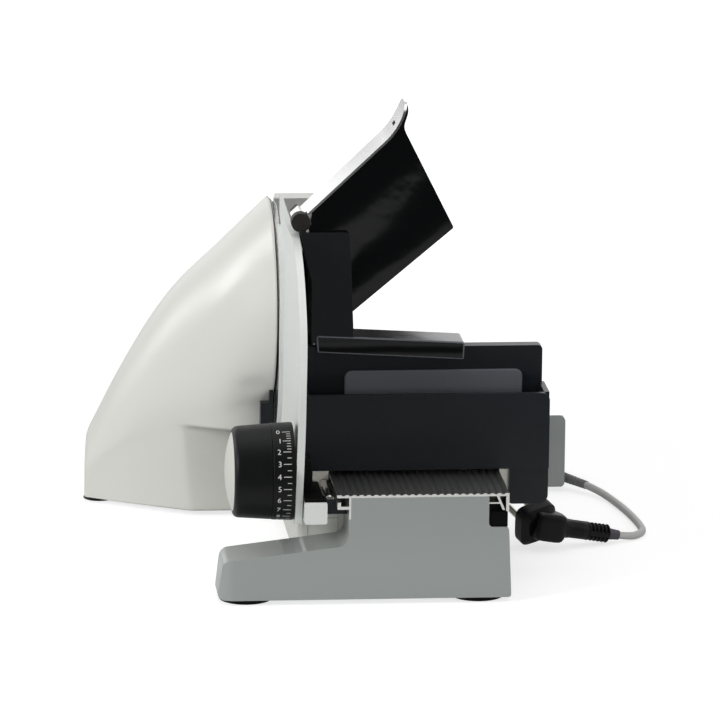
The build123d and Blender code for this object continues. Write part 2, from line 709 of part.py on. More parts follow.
back_wall_far = back_wall_y + back_wall_depth
near_face = outline((carriage_left, carriage_bottom, 0), (carriage_left, near_wall_top, 1.5),
                    (carriage_right, near_wall_top, 5), (carriage_right, carriage_bottom, 0))
back_face = outline((carriage_left, carriage_bottom, 0), (carriage_left, back_wall_top, 1.5),
                    (carriage_right - 1.5, back_wall_top, 3), (carriage_right - 1.5, carriage_bottom, 0))
carriage_shell = slab_y(near_face, near_wall_y, near_wall_y + shell_wall)
carriage_shell = carriage_shell + slab_y(back_face, back_wall_y, back_wall_far)
side_low = near_wall_y + shell_wall
carriage_shell = carriage_shell + block(carriage_left, carriage_left + shell_wall, side_low, back_wall_y,
                                        carriage_bottom, near_wall_top)
carriage_shell = carriage_shell + block(carriage_right - shell_wall, carriage_right, side_low,
                                        back_wall_y + 1, carriage_bottom, near_wall_top)
carriage_shell = carriage_shell + block(carriage_left, carriage_right, side_low, back_wall_y, trough_floor,
                                        trough_floor + shell_wall)
carriage_shell = carriage_shell + block(carriage_left, carriage_right - 2, back_wall_far, tray_back,
                                        carriage_bottom, carriage_bottom + 2.2)
skirt_face = outline((skirt_left, skirt_bottom, 2), (skirt_left, carriage_bottom, 0),
                     (carriage_right, carriage_bottom, 0), (carriage_right, skirt_bottom, 6))
skirt = slab_y(skirt_face, near_wall_y + 3, back_wall_far)
skirt_hollow = slab_y(offset(skirt_face, -shell_wall), near_wall_y + 3 + shell_wall,
                      back_wall_far - shell_wall)
skirt = skirt - (skirt_hollow + Pos(0, 0, shell_wall * 2) * skirt_hollow)
leg_left = carriage_left + 2
leg_right = rod_x_place - 8
leg_low = rod_z_place - 12
leg = block(leg_left, leg_right, near_wall_y, back_wall_far, leg_low, carriage_bottom)
bush_rear = tray_back - 75
bush_length = 35.0
leg_rear = block(leg_left, leg_right, bush_rear - 2, bush_rear + bush_length + 2, leg_low, carriage_bottom)
carriage_shell = carriage_shell + skirt + leg + leg_rear


def rod_shoe(y0, y1):
    body = block(leg_right, track_left - 0.3, y0, y1, rod_z_place - 6.5, carriage_bottom)
    mouth = block(rod_x_place, track_left + 1, y0 - 1, y1 + 1, rod_z_place - 2.6, rod_z_place + 2.6)
    return body - rod_y(y0 - 1, y1 + 1, rod_x_place, rod_z_place, rod_radius + running_gap) - mouth


rod_bushes = [rod_shoe(near_wall_y + 5, back_wall_far), rod_shoe(bush_rear, bush_rear + bush_length)]
food_tray = block(carriage_left, carriage_right - 2, back_wall_far, tray_back, carriage_bottom + 2.2,
                  carriage_bottom + 4.7)
food_tray = food_tray + block(carriage_right - 4.5, carriage_right - 2, back_wall_far, tray_back,
                              carriage_bottom + 4.7, carriage_bottom + 16)
pad_left = carriage_left + 29.4
pad_right = carriage_right - 15
pad_low = carriage_bottom + 23
pad_top = carriage_bottom + 61
pad_face = outline((pad_left, pad_low, 5), (pad_left, pad_top, 5),
                   (pad_right, pad_top, 5), (pad_right, pad_low, 5))
grip_pad = slab_y(pad_face, back_wall_y - 3, back_wall_y)
glide_low = track_top + moving_gap
glide_strips = [block(x, x + 9, back_wall_far + 6, tray_back - 4, glide_low, carriage_bottom)
                for x in (track_left + 20.5, track_right - 23.3)]
shoe_front = near_wall_y + 8
shoe_back = back_wall_far - 4
shoe_side = track_right + moving_gap
shoe_low = wall_low - 4.2
glide_shoe = block(shoe_side, skirt_left, shoe_front, shoe_back, shoe_low, carriage_bottom - 2)
glide_shoe = glide_shoe + block(track_right - 3, shoe_side, shoe_front, shoe_back,
                                shoe_low, wall_low - moving_gap)
track_glides = glide_strips + [glide_shoe]

# Remnant holder on the carriage's back wall

saddle_face = outline((14.9, back_wall_top - 1.9, 1), (13.7, back_wall_top + 10, 2),
                      (113.4, back_wall_top + 4.5, 2), (112.9, back_wall_top - 7.6, 1))
saddle_slot = block(0, carriage_right, back_wall_y - moving_gap, back_wall_far + moving_gap,
                    pad_low, back_wall_top + moving_gap)
pad_slot = block(0, carriage_right, back_wall_y - 3 - moving_gap, back_wall_y, pad_low, pad_top + moving_gap)
holder_saddle = slab_y(saddle_face, holder_near, holder_far) - saddle_slot - pad_slot
tower_low = back_wall_top + 4.4
tower_bend = hinge_z - 38.6
tower_top = hinge_z - 6.1
pusher_x = hinge_x + 7.4
pusher_wall = 3.7
tower_face = outline((pusher_x, tower_low, 0), (pusher_x, tower_bend, 0), (hinge_x - 1, tower_top, 1),
                     (hinge_x + 32.3, tower_top, 3), (hinge_x + 35.7, tower_low, 0))
holder_tower = slab_y(tower_face, holder_near, holder_near + 3.5)
pusher_mid = back_wall_top + 11.4
pusher_top = tower_top + 2.7
pusher_face = outline((pusher_x, pusher_mid, 0), (pusher_x, tower_bend, 0), (hinge_x - 1, tower_top, 0),
                      (hinge_x - 1, pusher_top, 0), (hinge_x + 2.8, pusher_top, 0),
                      (pusher_x + pusher_wall, tower_bend, 0), (pusher_x + pusher_wall, pusher_mid, 0))
holder_tower = holder_tower + slab_y(pusher_face, holder_near, pusher_far)
pusher_foot = carriage_bottom + 13
pusher_low = outline((pusher_x, pusher_foot, 1.5), (pusher_x, pusher_mid, 0),
                     (pusher_x + pusher_wall, pusher_mid, 0), (pusher_x + pusher_wall, pusher_foot, 1.5))
holder_tower = holder_tower + slab_y(pusher_low, holder_far + 1, pusher_far)
knuckle_near = (flap_near, flap_near + knuckle_length)
knuckle_far = (pusher_far - knuckle_length, pusher_far)
for y0, y1 in (knuckle_near, knuckle_far):
    holder_tower = holder_tower + rod_y(y0, y1, hinge_x, hinge_z, barrel_radius)
flap_knuckle_near = knuckle_near[1] + moving_gap
flap_knuckle_far = knuckle_far[0] - moving_gap
knuckle_room = rod_y(flap_knuckle_near - 0.01, flap_knuckle_far + 0.01, hinge_x, hinge_z,
                     barrel_radius + moving_gap)
holder_tower = holder_tower - knuckle_room
pin_start = flap_near + 1.6
holder_tower = holder_tower - rod_y(pin_start, 200, hinge_x, hinge_z, pin_radius) - holder_saddle
hinge_pin = rod_y(pin_start, pusher_far + 1.2, hinge_x, hinge_z, pin_radius)
spike_length = 4.5
spike = Rot(0, -90, 0) * Cone(1.6, 0.3, spike_length, align=(Align.CENTER, Align.CENTER, Align.MIN))
spike_rows = [pusher_foot + 14 * (i + 1) for i in range(4)]
pusher_spikes = [Pos(pusher_x, y, z) * spike for y in (112, 118, 124) for z in spike_rows]

# Hinged flap: steel top with a flared lip, black box below

lean = radians(flap_tilt)
along = (cos(lean), sin(lean))
across = (-sin(lean), cos(lean))


def flap_point(distance, height):
    return (hinge_x + along[0] * distance + across[0] * height,
            hinge_z + along[1] * distance + across[1] * height)


lip_bend = 77.0
lip_radius = 50.0
lip_turn = radians(35)
lip_corner = 12.0
clear_start = barrel_radius + moving_gap + 0.6


def lip_point(height, share):
    # Place on the lip, which curves up from the flat of the flap; share runs from its root to its tip
    reach = lip_radius - height
    centre = flap_point(lip_bend, lip_radius)
    angle = lean - pi / 2 + share * lip_turn
    return (centre[0] + reach * cos(angle), centre[1] + reach * sin(angle))


def lip_arc(height, start, end):
    middle = lip_point(height, (start + end) / 2)
    return ThreePointArc(lip_point(height, start), middle, lip_point(height, end))


lip_tip = lip_point(0, 1)
steel_face = make_face([
    Line(flap_point(clear_start, 0), flap_point(lip_bend, 0)),
    lip_arc(0, 0, 1),
    Line(lip_tip, lip_point(flap_sheet, 1)),
    lip_arc(flap_sheet, 1, 0),
    Line(flap_point(lip_bend, flap_sheet), flap_point(clear_start, flap_sheet)),
    Line(flap_point(clear_start, flap_sheet), flap_point(clear_start, 0)),
])
lip_plan = outline((flap_near, 0, 0), (flap_near, lip_tip[1], lip_corner),
                   (flap_far, lip_tip[1], lip_corner), (flap_far, 0, 0))
lip_room = slab_x(lip_plan, -200, 300)
root_face = make_face(Polyline(
    flap_point(barrel_radius - 2, -flap_sheet), flap_point(clear_start + 4, -0.001),
    flap_point(clear_start + 4, flap_sheet), flap_point(barrel_radius - 2, flap_sheet), close=True))
flap_plate = slab_y(steel_face, flap_near, flap_far) & lip_room
flap_plate = flap_plate + slab_y(root_face, flap_knuckle_near, flap_far)
flap_plate = flap_plate + rod_y(flap_knuckle_near, flap_knuckle_far, hinge_x, hinge_z, barrel_radius)
flap_plate = flap_plate - rod_y(0, 200, hinge_x, hinge_z, pin_radius + running_gap)
slot_share = 0.42
slot_place = lip_point(flap_sheet / 2, slot_share)
slot_lean = lean - pi / 2 + slot_share * lip_turn
slot_plane = Plane(origin=(slot_place[0], (flap_near + flap_far) / 2, slot_place[1]), x_dir=(0, 1, 0),
                   z_dir=(cos(slot_lean), 0, sin(slot_lean)))
flap_plate = flap_plate - slot_plane * extrude(SlotOverall(10, 2.6), flap_sheet * 0.6, both=True)
box_corner = (hinge_x + 102, hinge_z - 4.2)
box_top_corner = (hinge_x + 67.7, hinge_z + 63.4)
barrel_room = barrel_radius + moving_gap + 0.3


def round_barrel(angle):
    return (hinge_x + barrel_room * cos(radians(angle)), hinge_z + barrel_room * sin(radians(angle)))


flap_outline = outline(
    (*flap_point(clear_start + 2, -0.4), 0), (*box_top_corner, 0), (*box_corner, 1.5),
    (hinge_x + 24.1, hinge_z - 69.9, 4), (hinge_x + 16.5, hinge_z - 59.4, 4),
    (hinge_x + 14.0, hinge_z - 34, 4), (*round_barrel(-42), 0), (*round_barrel(-12), 0),
    (*round_barrel(18), 0))
flap_outline = flap_outline - make_face(Polyline(
    flap_point(-5, 0), flap_point(120, 0), flap_point(120, 60), flap_point(-5, 60), close=True))
flap_box = slab_y(flap_outline, flap_near, flap_far)
flap_hollow = slab_y(offset(flap_outline, -flap_wall), flap_near + flap_wall, flap_far + 1)
flap_back = flap_hollow & block(-200, 300, flap_far - 2, flap_far, 0, 400)
flap_box = flap_box - flap_hollow
gusset_root = flap_point(lip_bend - 8, 0)
gusset_low = (hinge_x + 66, hinge_z + 56)
gusset_edge = (lip_point(0, 0.97), (hinge_x + 70.3, hinge_z + 71.7), (hinge_x + 68.5, hinge_z + 66.4),
               (hinge_x + 69.3, hinge_z + 60.6))
gusset_face = make_face([
    Line(gusset_root, flap_point(lip_bend, 0)),
    lip_arc(0, 0, 0.97),
    Spline(*gusset_edge),
    Line(gusset_edge[-1], gusset_low),
    Line(gusset_low, gusset_root),
])
gusset = (slab_y(gusset_face, flap_near, flap_far) & lip_room) - flap_hollow
flap_box = flap_box + gusset - flap_plate

# Mains cord from the gland to the plug's boot, lying on the table

plug_tip = Vector(228.5, 150, 5.0)
plug_heading = Vector(-53.6, -15.4, 11.8).normalized()
boot_length = 24.0
cord_points = [
    cord_start,
    cord_start + gland_heading * 12,
    Vector(243.6, 265.0, 4.4),
    Vector(248.4, 246.0, 3.0),
    Vector(250.2, 223.0, 2.8),
    Vector(250.6, 201.0, 2.8),
    Vector(249.8, 181.2, 2.8),
    Vector(248.3, 167.3, 2.9),
    Vector(243.9, 158.3, 3.1),
    plug_tip - plug_heading * 9,
    plug_tip,
]
cord_radii = []
for i in range(1, len(cord_points) - 1):
    before = cord_points[i] - cord_points[i - 1]
    after = cord_points[i + 1] - cord_points[i]
    turn = radians(before.get_angle(after))
    cord_radii.append(0.45 * min(before.length, after.length) / tan(turn / 2))
cord_path = FilletPolyline(*cord_points, radius=cord_radii)
cord_section = Plane(origin=cord_points[0], z_dir=gland_heading) * Circle(cord_radius)
mains_cord = sweep(cord_section, path=cord_path)
print("cord radii", [round(radius, 1) for radius in cord_radii])
print("cord length", round(cord_path.length, 1), "volume ratio",
      round(mains_cord.volume / (cord_path.length * pi * cord_radius ** 2), 4))

# Plug with ribbed boot, drawn along its own axis and laid on the table

boot_profile = Polyline(
    (0, 0), (3.4, 0), (4.0, 8), (6.4, 9), (6.4, 10.5), (5.4, 10.9), (5.4, 12.1), (6.4, 12.5),
    (6.4, 14), (5.4, 14.4), (5.4, 15.6), (6.4, 16), (6.4, 17.5), (5.4, 17.9), (5.4, 19.1),
    (6.4, 19.5), (6.4, boot_length), (0, boot_length), close=True)
plug_frame = Plane(origin=plug_tip, z_dir=plug_heading, x_dir=(0, 0, 1))
plug_boot = plug_frame * revolve(Plane.XZ * make_face(boot_profile), Axis.Z)
neck_profile = make_face(Polyline((0, boot_length), (6.2, boot_length), (6.2, 37), (6.9, 46), (0, 46),
                                  close=True))
plug_body = revolve(Plane.XZ * neck_profile, Axis.Z)
grip = Pos(0, -0.5, 53) * Box(20, 21, 24)
grip = fillet(grip.edges().filter_by(Axis.Z), 4)
grip = fillet(grip.edges().group_by(Axis.Z)[0] + grip.edges().group_by(Axis.Z)[-1], 2)
puck_plane = Plane(origin=(0, 6.5, 60), z_dir=(0.28, 0.92, 0.27), x_dir=(0, 0, 1))
puck = puck_plane * fillet(Cylinder(15.4, 15).edges(), 2.5)
plug_body = plug_body + grip + puck
pin_length = 19.0
pin_places = (-9.5, 9.5)
pins = []
for x in pin_places:
    pin = Pos(x, 0, 1.5) * Cylinder(2.2, pin_length + 6, align=(Align.CENTER, Align.CENTER, Align.MIN))
    pins.append(puck_plane * pin)
plug_body = plug_frame * (plug_body - pins)
plug_pins = [plug_frame * pin for pin in pins]

nodes = {
    "front_foot": front_foot,
    "front_foot_base": front_foot_base,
    "rear_foot": rear_foot,
    "rear_foot_cover": rear_foot_cover,
    "suction_feet": suction_feet,
    "base_beam": base_beam,
    "guide_bushes": guide_bushes,
    "carriage_track": carriage_track,
    "guide_rod": guide_rod,
    "rod_blocks": rod_blocks,
    "motor_housing": motor_housing,
    "housing_base": housing_base,
    "housing_screws": housing_screws,
    "bearing_plate": bearing_plate,
    "gear_frame": gear_frame,
    "motor_stator": motor_stator,
    "stator_windings": stator_windings,
    "motor_bracket": motor_bracket,
    "shaft_bearings": shaft_bearings,
    "blade_hood": blade_hood,
    "plate_guide": plate_guide,
    "spindle_block": spindle_block,
    "spindle_bracket": spindle_bracket,
    "thread_spindle": thread_spindle,
    "switch_body": switch_body,
    "cord_gland": gland,
    "mains_cord": mains_cord,
    "plug_boot": plug_boot,
    "plug_body": plug_body,
    "plug_pins": plug_pins,
    "power_button": power_button,
    "pulse_button": pulse_button,
    "blade": blade,
    "blade_hub": blade_hub,
    "blade_shaft": blade_shaft,
    "blade_bolt": blade_bolt,
    "drive_gear": drive_gear,
    "rotor_core": rotor_core,
    "rotor_shaft": rotor_shaft,
    "cooling_fan": cooling_fan,
    "stop_plate": stop_plate,
    "plate_carrier": plate_carrier,
    "guide_bars": guide_bars,
    "knob_body": knob_body,
    "scale_ring": scale_ring,
    "knob_cap": knob_cap,
    "knob_nut": knob_nut,
    "carriage_shell": carriage_shell,
    "food_tray": food_tray,
    "grip_pad": grip_pad,
    "rod_bushes": rod_bushes,
    "track_glides": track_glides,
    "holder_saddle": holder_saddle,
    "holder_tower": holder_tower,
    "pusher_spikes": pusher_spikes,
    "hinge_pin": hinge_pin,
    "flap_plate": flap_plate,
    "flap_box": flap_box,
    "flap_back": flap_back,
}

os.makedirs("parts", exist_ok=True)
to_origin = Pos(-origin_x, -origin_y, 0)
for name, shape in nodes.items():
    pieces = shape if isinstance(shape, list) else [shape]
    solids = [to_origin * solid for piece in pieces for solid in piece.solids()]
    export_step(Compound(solids), f"parts/{name}.step")
print(len(nodes), "nodes, origin at", round(origin_x, 3), round(origin_y, 3))
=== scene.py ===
import json
import math
import bmesh
import bpy
import numpy as np
from mathutils import Matrix, Vector

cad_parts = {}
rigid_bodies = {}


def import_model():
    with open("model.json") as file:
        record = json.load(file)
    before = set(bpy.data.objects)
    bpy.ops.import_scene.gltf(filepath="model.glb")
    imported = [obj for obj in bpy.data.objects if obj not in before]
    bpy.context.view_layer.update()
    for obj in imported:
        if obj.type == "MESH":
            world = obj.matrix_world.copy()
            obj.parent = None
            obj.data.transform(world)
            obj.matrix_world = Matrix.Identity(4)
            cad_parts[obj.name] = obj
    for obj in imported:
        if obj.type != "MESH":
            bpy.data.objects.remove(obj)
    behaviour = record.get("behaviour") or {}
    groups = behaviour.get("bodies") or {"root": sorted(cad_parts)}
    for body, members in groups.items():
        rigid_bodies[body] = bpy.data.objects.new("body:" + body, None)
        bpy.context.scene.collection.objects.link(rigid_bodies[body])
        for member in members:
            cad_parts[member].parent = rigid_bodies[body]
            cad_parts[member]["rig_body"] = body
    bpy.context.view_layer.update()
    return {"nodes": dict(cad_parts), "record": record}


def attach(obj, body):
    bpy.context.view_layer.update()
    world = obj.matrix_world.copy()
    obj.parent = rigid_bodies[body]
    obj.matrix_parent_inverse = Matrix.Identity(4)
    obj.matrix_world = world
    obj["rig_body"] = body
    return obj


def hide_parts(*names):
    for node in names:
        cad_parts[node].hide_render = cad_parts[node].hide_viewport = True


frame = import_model()
nodes = frame["nodes"]
print("frame loaded:", len(nodes), "nodes")

# The drawing's millimetres start at the cutting plane, the front foot's face and the table
drawingOrigin = np.array([40.25, 165.75, 0])


def toFrame(points):
    # drawing millimetres to the frame's metres
    return (np.asarray(points, float) - drawingOrigin) / 1000


def fromFrame(points):
    return points * 1000 + drawingOrigin


def unit(vector):
    vector = np.asarray(vector, float)
    return vector / np.linalg.norm(vector, axis=-1, keepdims=True)


def srgb(red, green, blue):
    # screen values 0 to 255 to the linear colour that Blender's sockets take
    value = np.array([red, green, blue]) / 255
    linear = np.where(value <= 0.04045, value / 12.92, ((value + 0.055) / 1.055) ** 2.4)
    return (*linear.tolist(), 1)


def newObject(name, data):
    made = bpy.data.objects.new(name, data)
    bpy.context.scene.collection.objects.link(made)
    return made


# Camera, matched to the photograph's parallel edges

camera = {
    "yaw": 5.5, "pitch": 13.25, "roll": -0.6,
    "target": (49.984, 150.009, 130.032), "distance": 4400,
    "lens": 325, "sensor": 36, "clip": (0.1, 60),
}


def addCamera(spec):
    yaw, pitch, roll = (math.radians(spec[key]) for key in ("yaw", "pitch", "roll"))
    back = Vector((-math.sin(yaw) * math.cos(pitch), -math.cos(yaw) * math.cos(pitch), math.sin(pitch)))
    right = Vector((math.cos(yaw), -math.sin(yaw), 0))
    up = right.cross(-back)
    turnedRight = math.cos(roll) * right - math.sin(roll) * up
    turnedUp = math.sin(roll) * right + math.cos(roll) * up
    eye = Vector(toFrame(spec["target"])) + back * spec["distance"] / 1000
    lens = bpy.data.cameras.new("photoCamera")
    lens.lens = spec["lens"]
    lens.sensor_width = spec["sensor"]
    lens.clip_start, lens.clip_end = spec["clip"]
    holder = newObject("photoCamera", lens)
    turn = Matrix((turnedRight, turnedUp, back)).transposed().to_4x4()
    holder.matrix_world = Matrix.Translation(eye) @ turn
    bpy.context.scene.camera = holder


addCamera(camera)
print("camera placed")

# Shader helpers and shared effects


def feed(tree, socket, value):
    # another node's socket is linked, a plain value is set
    if isinstance(value, bpy.types.NodeSocket):
        tree.links.new(value, socket)
    else:
        socket.default_value = value


def mathNode(tree, operation, *values, kind="ShaderNodeMath", output="Value"):
    node = tree.nodes.new(kind)
    node.operation = operation
    for socket, value in zip(node.inputs, values):
        feed(tree, socket, value)
    return node.outputs[output]


def vectorNode(tree, operation, output, *values):
    return mathNode(tree, operation, *values, kind="ShaderNodeVectorMath", output=output)


def rangeNode(tree, value, low, high, start, end):
    # smooth step from start to end while the value goes from low to high
    node = tree.nodes.new("ShaderNodeMapRange")
    node.interpolation_type = "SMOOTHSTEP"
    for socket, number in zip(node.inputs, (value, low, high, start, end)):
        feed(tree, socket, number)
    return node.outputs["Result"]


def noiseNode(tree, detail, scale, place, socket="Vector"):
    # noise in space, or along a line where the place is one number
    node = tree.nodes.new("ShaderNodeTexNoise")
    node.noise_dimensions = "3D" if socket == "Vector" else "1D"
    for label, value in (("Detail", detail), ("Scale", scale), (socket, place)):
        feed(tree, node.inputs[label], value)
    return node.outputs["Fac"]


def objectPlace(tree):
    return tree.nodes.new("ShaderNodeTexCoord").outputs["Object"]


finishInputs = {"Colour": "Color", "Amount": "Float", "Roughness": "Float"}
finishOutputs = {"Colour": "Color", "Roughness": "Float", "Height": "Float"}
grain = {
    "driftDetail": 4, "fineDetail": 3, "coarseDetail": 2, "coarseShare": 0.18, "waveDrift": 3,
    "brushedDetail": 5, "turnedDetail": 4, "alongAxis": 0.02,
}


def newGroup(name, **inputs):
    group = bpy.data.node_groups.new(name, "ShaderNodeTree")
    for side, sockets in (("INPUT", {**finishInputs, **inputs}), ("OUTPUT", finishOutputs)):
        for label, kind in sockets.items():
            group.interface.new_socket(label, in_out=side, socket_type="NodeSocket" + kind)
    return group, group.nodes.new("NodeGroupInput").outputs, group.nodes.new("NodeGroupOutput").inputs


def finishGroup(group, start, end, pattern, height):
    # brightness and roughness both times (1 + amount * (2 * pattern - 1))
    centred = mathNode(group, "MULTIPLY_ADD", pattern, 2, -1)
    factor = mathNode(group, "MULTIPLY_ADD", centred, start["Amount"], 1)
    tint = group.nodes.new("ShaderNodeHueSaturation")
    feed(group, tint.inputs["Value"], factor)
    feed(group, tint.inputs["Color"], start["Colour"])
    feed(group, end["Colour"], tint.outputs["Color"])
    feed(group, end["Roughness"], mathNode(group, "MULTIPLY", factor, start["Roughness"]))
    feed(group, end["Height"], height)
    return group


def buildMottle(spec):
    # moulded, cast or sprayed skin: slow drift of tone, its height a fine and a coarse noise
    # and swell * sin(place . wave + waveDrift * drift), the slow unevenness of a moulded wall
    group, start, end = newGroup("softMottle", Scale="Float", Grain="Float", Wave="Vector", Swell="Float")
    place = objectPlace(group)
    drift = noiseNode(group, spec["driftDetail"], start["Scale"], place)
    fine = noiseNode(group, spec["fineDetail"], start["Grain"], place)
    coarseScale = mathNode(group, "MULTIPLY", start["Grain"], spec["coarseShare"])
    coarse = noiseNode(group, spec["coarseDetail"], coarseScale, place)
    slope = vectorNode(group, "DOT_PRODUCT", "Value", place, start["Wave"])
    turn = mathNode(group, "MULTIPLY_ADD", drift, spec["waveDrift"], slope)
    swell = mathNode(group, "MULTIPLY", mathNode(group, "SINE", turn), start["Swell"])
    height = mathNode(group, "ADD", mathNode(group, "ADD", fine, coarse), swell)
    return finishGroup(group, start, end, drift, height)


def buildBrushed(spec):
    # drawn or ground metal: noise squeezed across the direction of the grain
    group, start, end = newGroup("brushedGrain", Stretch="Vector")
    squeezed = vectorNode(group, "MULTIPLY", "Vector", objectPlace(group), start["Stretch"])
    noise = noiseNode(group, spec["brushedDetail"], 1, squeezed)
    return finishGroup(group, start, end, noise, noise)


def buildTurned(spec):
    # lathe and grinding rings: noise read along the distance from an axis that runs left to right
    group, start, end = newGroup("turnedGrain", Centre="Vector", Rings="Float")
    offset = vectorNode(group, "SUBTRACT", "Vector", objectPlace(group), start["Centre"])
    flat = vectorNode(group, "MULTIPLY", "Vector", offset, (spec["alongAxis"], 1, 1))
    far = mathNode(group, "MULTIPLY", vectorNode(group, "LENGTH", "Value", flat), start["Rings"])
    noise = noiseNode(group, spec["turnedDetail"], 1, far, "W")
    return finishGroup(group, start, end, noise, noise)


effects = {"mottle": buildMottle(grain), "brushed": buildBrushed(grain), "turned": buildTurned(grain)}
effectInputs = {
    "mottle": ("Scale", "Grain"), "wave": ("Wave", "Swell"), "brushed": ("Stretch",),
    "turned": ("Rings", "Centre")}
bladeCentre = tuple(toFrame((0, 240, 135)))
bumpStrength = 0.5

# Finishes, one per material slot of the record, and those of single faces and prints.
# mottle: amount, scale, grain scale, depth; brushed: amount, stretch, depth
# turned: amount, rings, centre, depth
# depth: hundredths of a millimetre; wave: radians per metre along each axis, and its height in depths
finishes = {
    "enamel": {
        "colour": (214, 214, 208), "rough": 0.34, "specular": 0.35, "coat": 0.12, "coatRough": 0.2,
        "mottle": (0.012, 9, 240, 5)},
    "grey_paint": {
        "colour": (150, 155, 153), "rough": 0.3, "coat": 0.35, "coatRough": 0.05,
        "mottle": (0.025, 14, 420, 5)},
    "plate_silver": {
        "colour": (222, 225, 222), "rough": 0.4, "metallic": 0.1, "brushed": (0.04, (60, 60, 1400), 2)},
    "track_aluminium": {
        "colour": (226, 226, 222), "rough": 0.3, "metallic": 1, "brushed": (0.1, (1500, 14, 1500), 3)},
    "zinc_steel": {"colour": (196, 200, 203), "rough": 0.38, "metallic": 1, "mottle": (0.1, 60, 900, 2)},
    "polished_steel": {
        "colour": (222, 220, 216), "rough": 0.14, "metallic": 1, "brushed": (0.08, (900, 40, 900), 1)},
    "blade_steel": {
        "colour": (212, 212, 214), "rough": 0.22, "metallic": 1, "turned": (0.12, 2600, bladeCentre, 1)},
    "tray_steel": {
        "colour": (208, 208, 208), "rough": 0.32, "metallic": 1, "brushed": (0.1, (12, 1200, 1200), 2)},
    "flap_steel": {
        "colour": (226, 226, 226), "rough": 0.24, "metallic": 1, "brushed": (0.05, (900, 20, 900), 1)},
    "dark_plastic": {"colour": (25, 29, 33), "rough": 0.36, "specular": 0.4, "mottle": (0.1, 30, 1500, 8)},
    "gloss_black": {
        "colour": (8, 9, 10), "rough": 0.09, "mottle": (0.2, 14, 60, 3), "wave": ((-95, 0, 101), 20)},
    "towerBlack": {"colour": (15, 18, 20), "rough": 0.3, "mottle": (0.12, 20, 900, 3)},
    # near-black, dull copy of the tower's plastic for its faces towards the blade: painted shade
    "towerShade": {"colour": (9, 9, 11), "rough": 0.75, "specular": 0.05, "mottle": (0.2, 40, 900, 6)},
    "knuckleGrey": {"colour": (36, 34, 32), "rough": 0.55, "specular": 0.3, "mottle": (0.2, 160, 1500, 6)},
    "saddleBlack": {"colour": (8, 9, 9), "rough": 0.1, "mottle": (0.2, 14, 40, 1), "wave": ((6, 0, 520), 12)},
    # lighter grey for rounded edges: painted highlight along them
    "edgePaintedHighlight": {"colour": (98, 101, 105), "rough": 0.34, "mottle": (0.1, 60, 1500, 4)},
    "sawnEnd": {
        "colour": (216, 216, 212), "rough": 0.5, "metallic": 0.1, "brushed": (0.06, (30, 30, 1600), 2)},
    # the spindle bracket's own black, also used as painted shade in the housing's gap and the front foot's
    # notch
    "bracketBlack": {"colour": (9, 9, 9), "rough": 0.6, "specular": 0.12, "mottle": (0.15, 60, 1500, 8)},
    # darker grey than the cord: painted shade on the strain relief
    "glandPaintedShade": {"colour": (112, 112, 113), "rough": 0.5, "mottle": (0.08, 60, 1500, 5)},
    "pad_grey": {"colour": (90, 93, 98), "rough": 0.75, "specular": 0.25, "mottle": (0.07, 35, 2600, 12)},
    "knob_black": {"colour": (14, 15, 16), "rough": 0.45, "specular": 0.2, "mottle": (0.12, 40, 1900, 8)},
    "cap_grey": {"colour": (206, 206, 200), "rough": 0.4, "mottle": (0.02, 40, 1500, 5)},
    "foot_rubber": {"colour": (16, 16, 17), "rough": 0.62, "specular": 0.3, "mottle": (0.15, 50, 1200, 12)},
    "cord_grey": {"colour": (190, 191, 189), "rough": 0.46, "mottle": (0.05, 60, 1500, 5)},
    "plug_black": {"colour": (15, 15, 16), "rough": 0.42, "specular": 0.22, "mottle": (0.14, 60, 1500, 10)},
    "nickel": {"colour": (206, 202, 192), "rough": 0.22, "metallic": 1, "mottle": (0.05, 90, 900, 1)},
    "white_nylon": {"colour": (222, 220, 210), "rough": 0.45, "mottle": (0.04, 50, 900, 3)},
    "bronze": {"colour": (196, 140, 88), "rough": 0.4, "metallic": 0.9, "mottle": (0.12, 120, 900, 3)},
    "lamination": {
        "colour": (96, 96, 98), "rough": 0.45, "metallic": 0.9, "brushed": (0.2, (1600, 20, 20), 4)},
    "dialPrint": {"colour": (206, 206, 202), "rough": 0.55, "mottle": (0.05, 200, 2000, 2)},
    "bootTip": {"colour": (74, 70, 78), "rough": 0.5, "mottle": (0.08, 120, 1500, 6)},
}
# a lighter copy of the enamel for the blade hood: painted light on its shaded inner face
finishes["hoodPaintedLight"] = {**finishes["enamel"], "colour": (244, 245, 241)}
plainLook = (
    ("Metallic", "metallic", 0), ("Specular IOR Level", "specular", 0.5), ("Coat Weight", "coat", 0),
    ("Coat Roughness", "coatRough", 0.06))


def makeFinish(name, look):
    material = bpy.data.materials.new(name)
    material.use_nodes = True
    tree = material.node_tree
    shader = tree.nodes["Principled BSDF"]
    for label, key, plain in plainLook:
        shader.inputs[label].default_value = look.get(key, plain)
    kind = next(label for label in effects if label in look)
    effect = tree.nodes.new("ShaderNodeGroup")
    effect.node_tree = effects[kind]
    amount, *rest, depth = look[kind]
    values = {"Colour": srgb(*look["colour"]), "Amount": amount, "Roughness": look["rough"]}
    values.update(zip(effectInputs[kind], rest))
    values.update(zip(effectInputs["wave"], look.get("wave", ())))
    for label, value in values.items():
        effect.inputs[label].default_value = value
    bump = tree.nodes.new("ShaderNodeBump")
    bump.inputs["Strength"].default_value = bumpStrength
    bump.inputs["Distance"].default_value = depth / 100000
    feed(tree, bump.inputs["Height"], effect.outputs["Height"])
    feed(tree, shader.inputs["Base Color"], effect.outputs["Colour"])
    feed(tree, shader.inputs["Roughness"], effect.outputs["Roughness"])
    feed(tree, shader.inputs["Normal"], bump.outputs["Normal"])
    return material


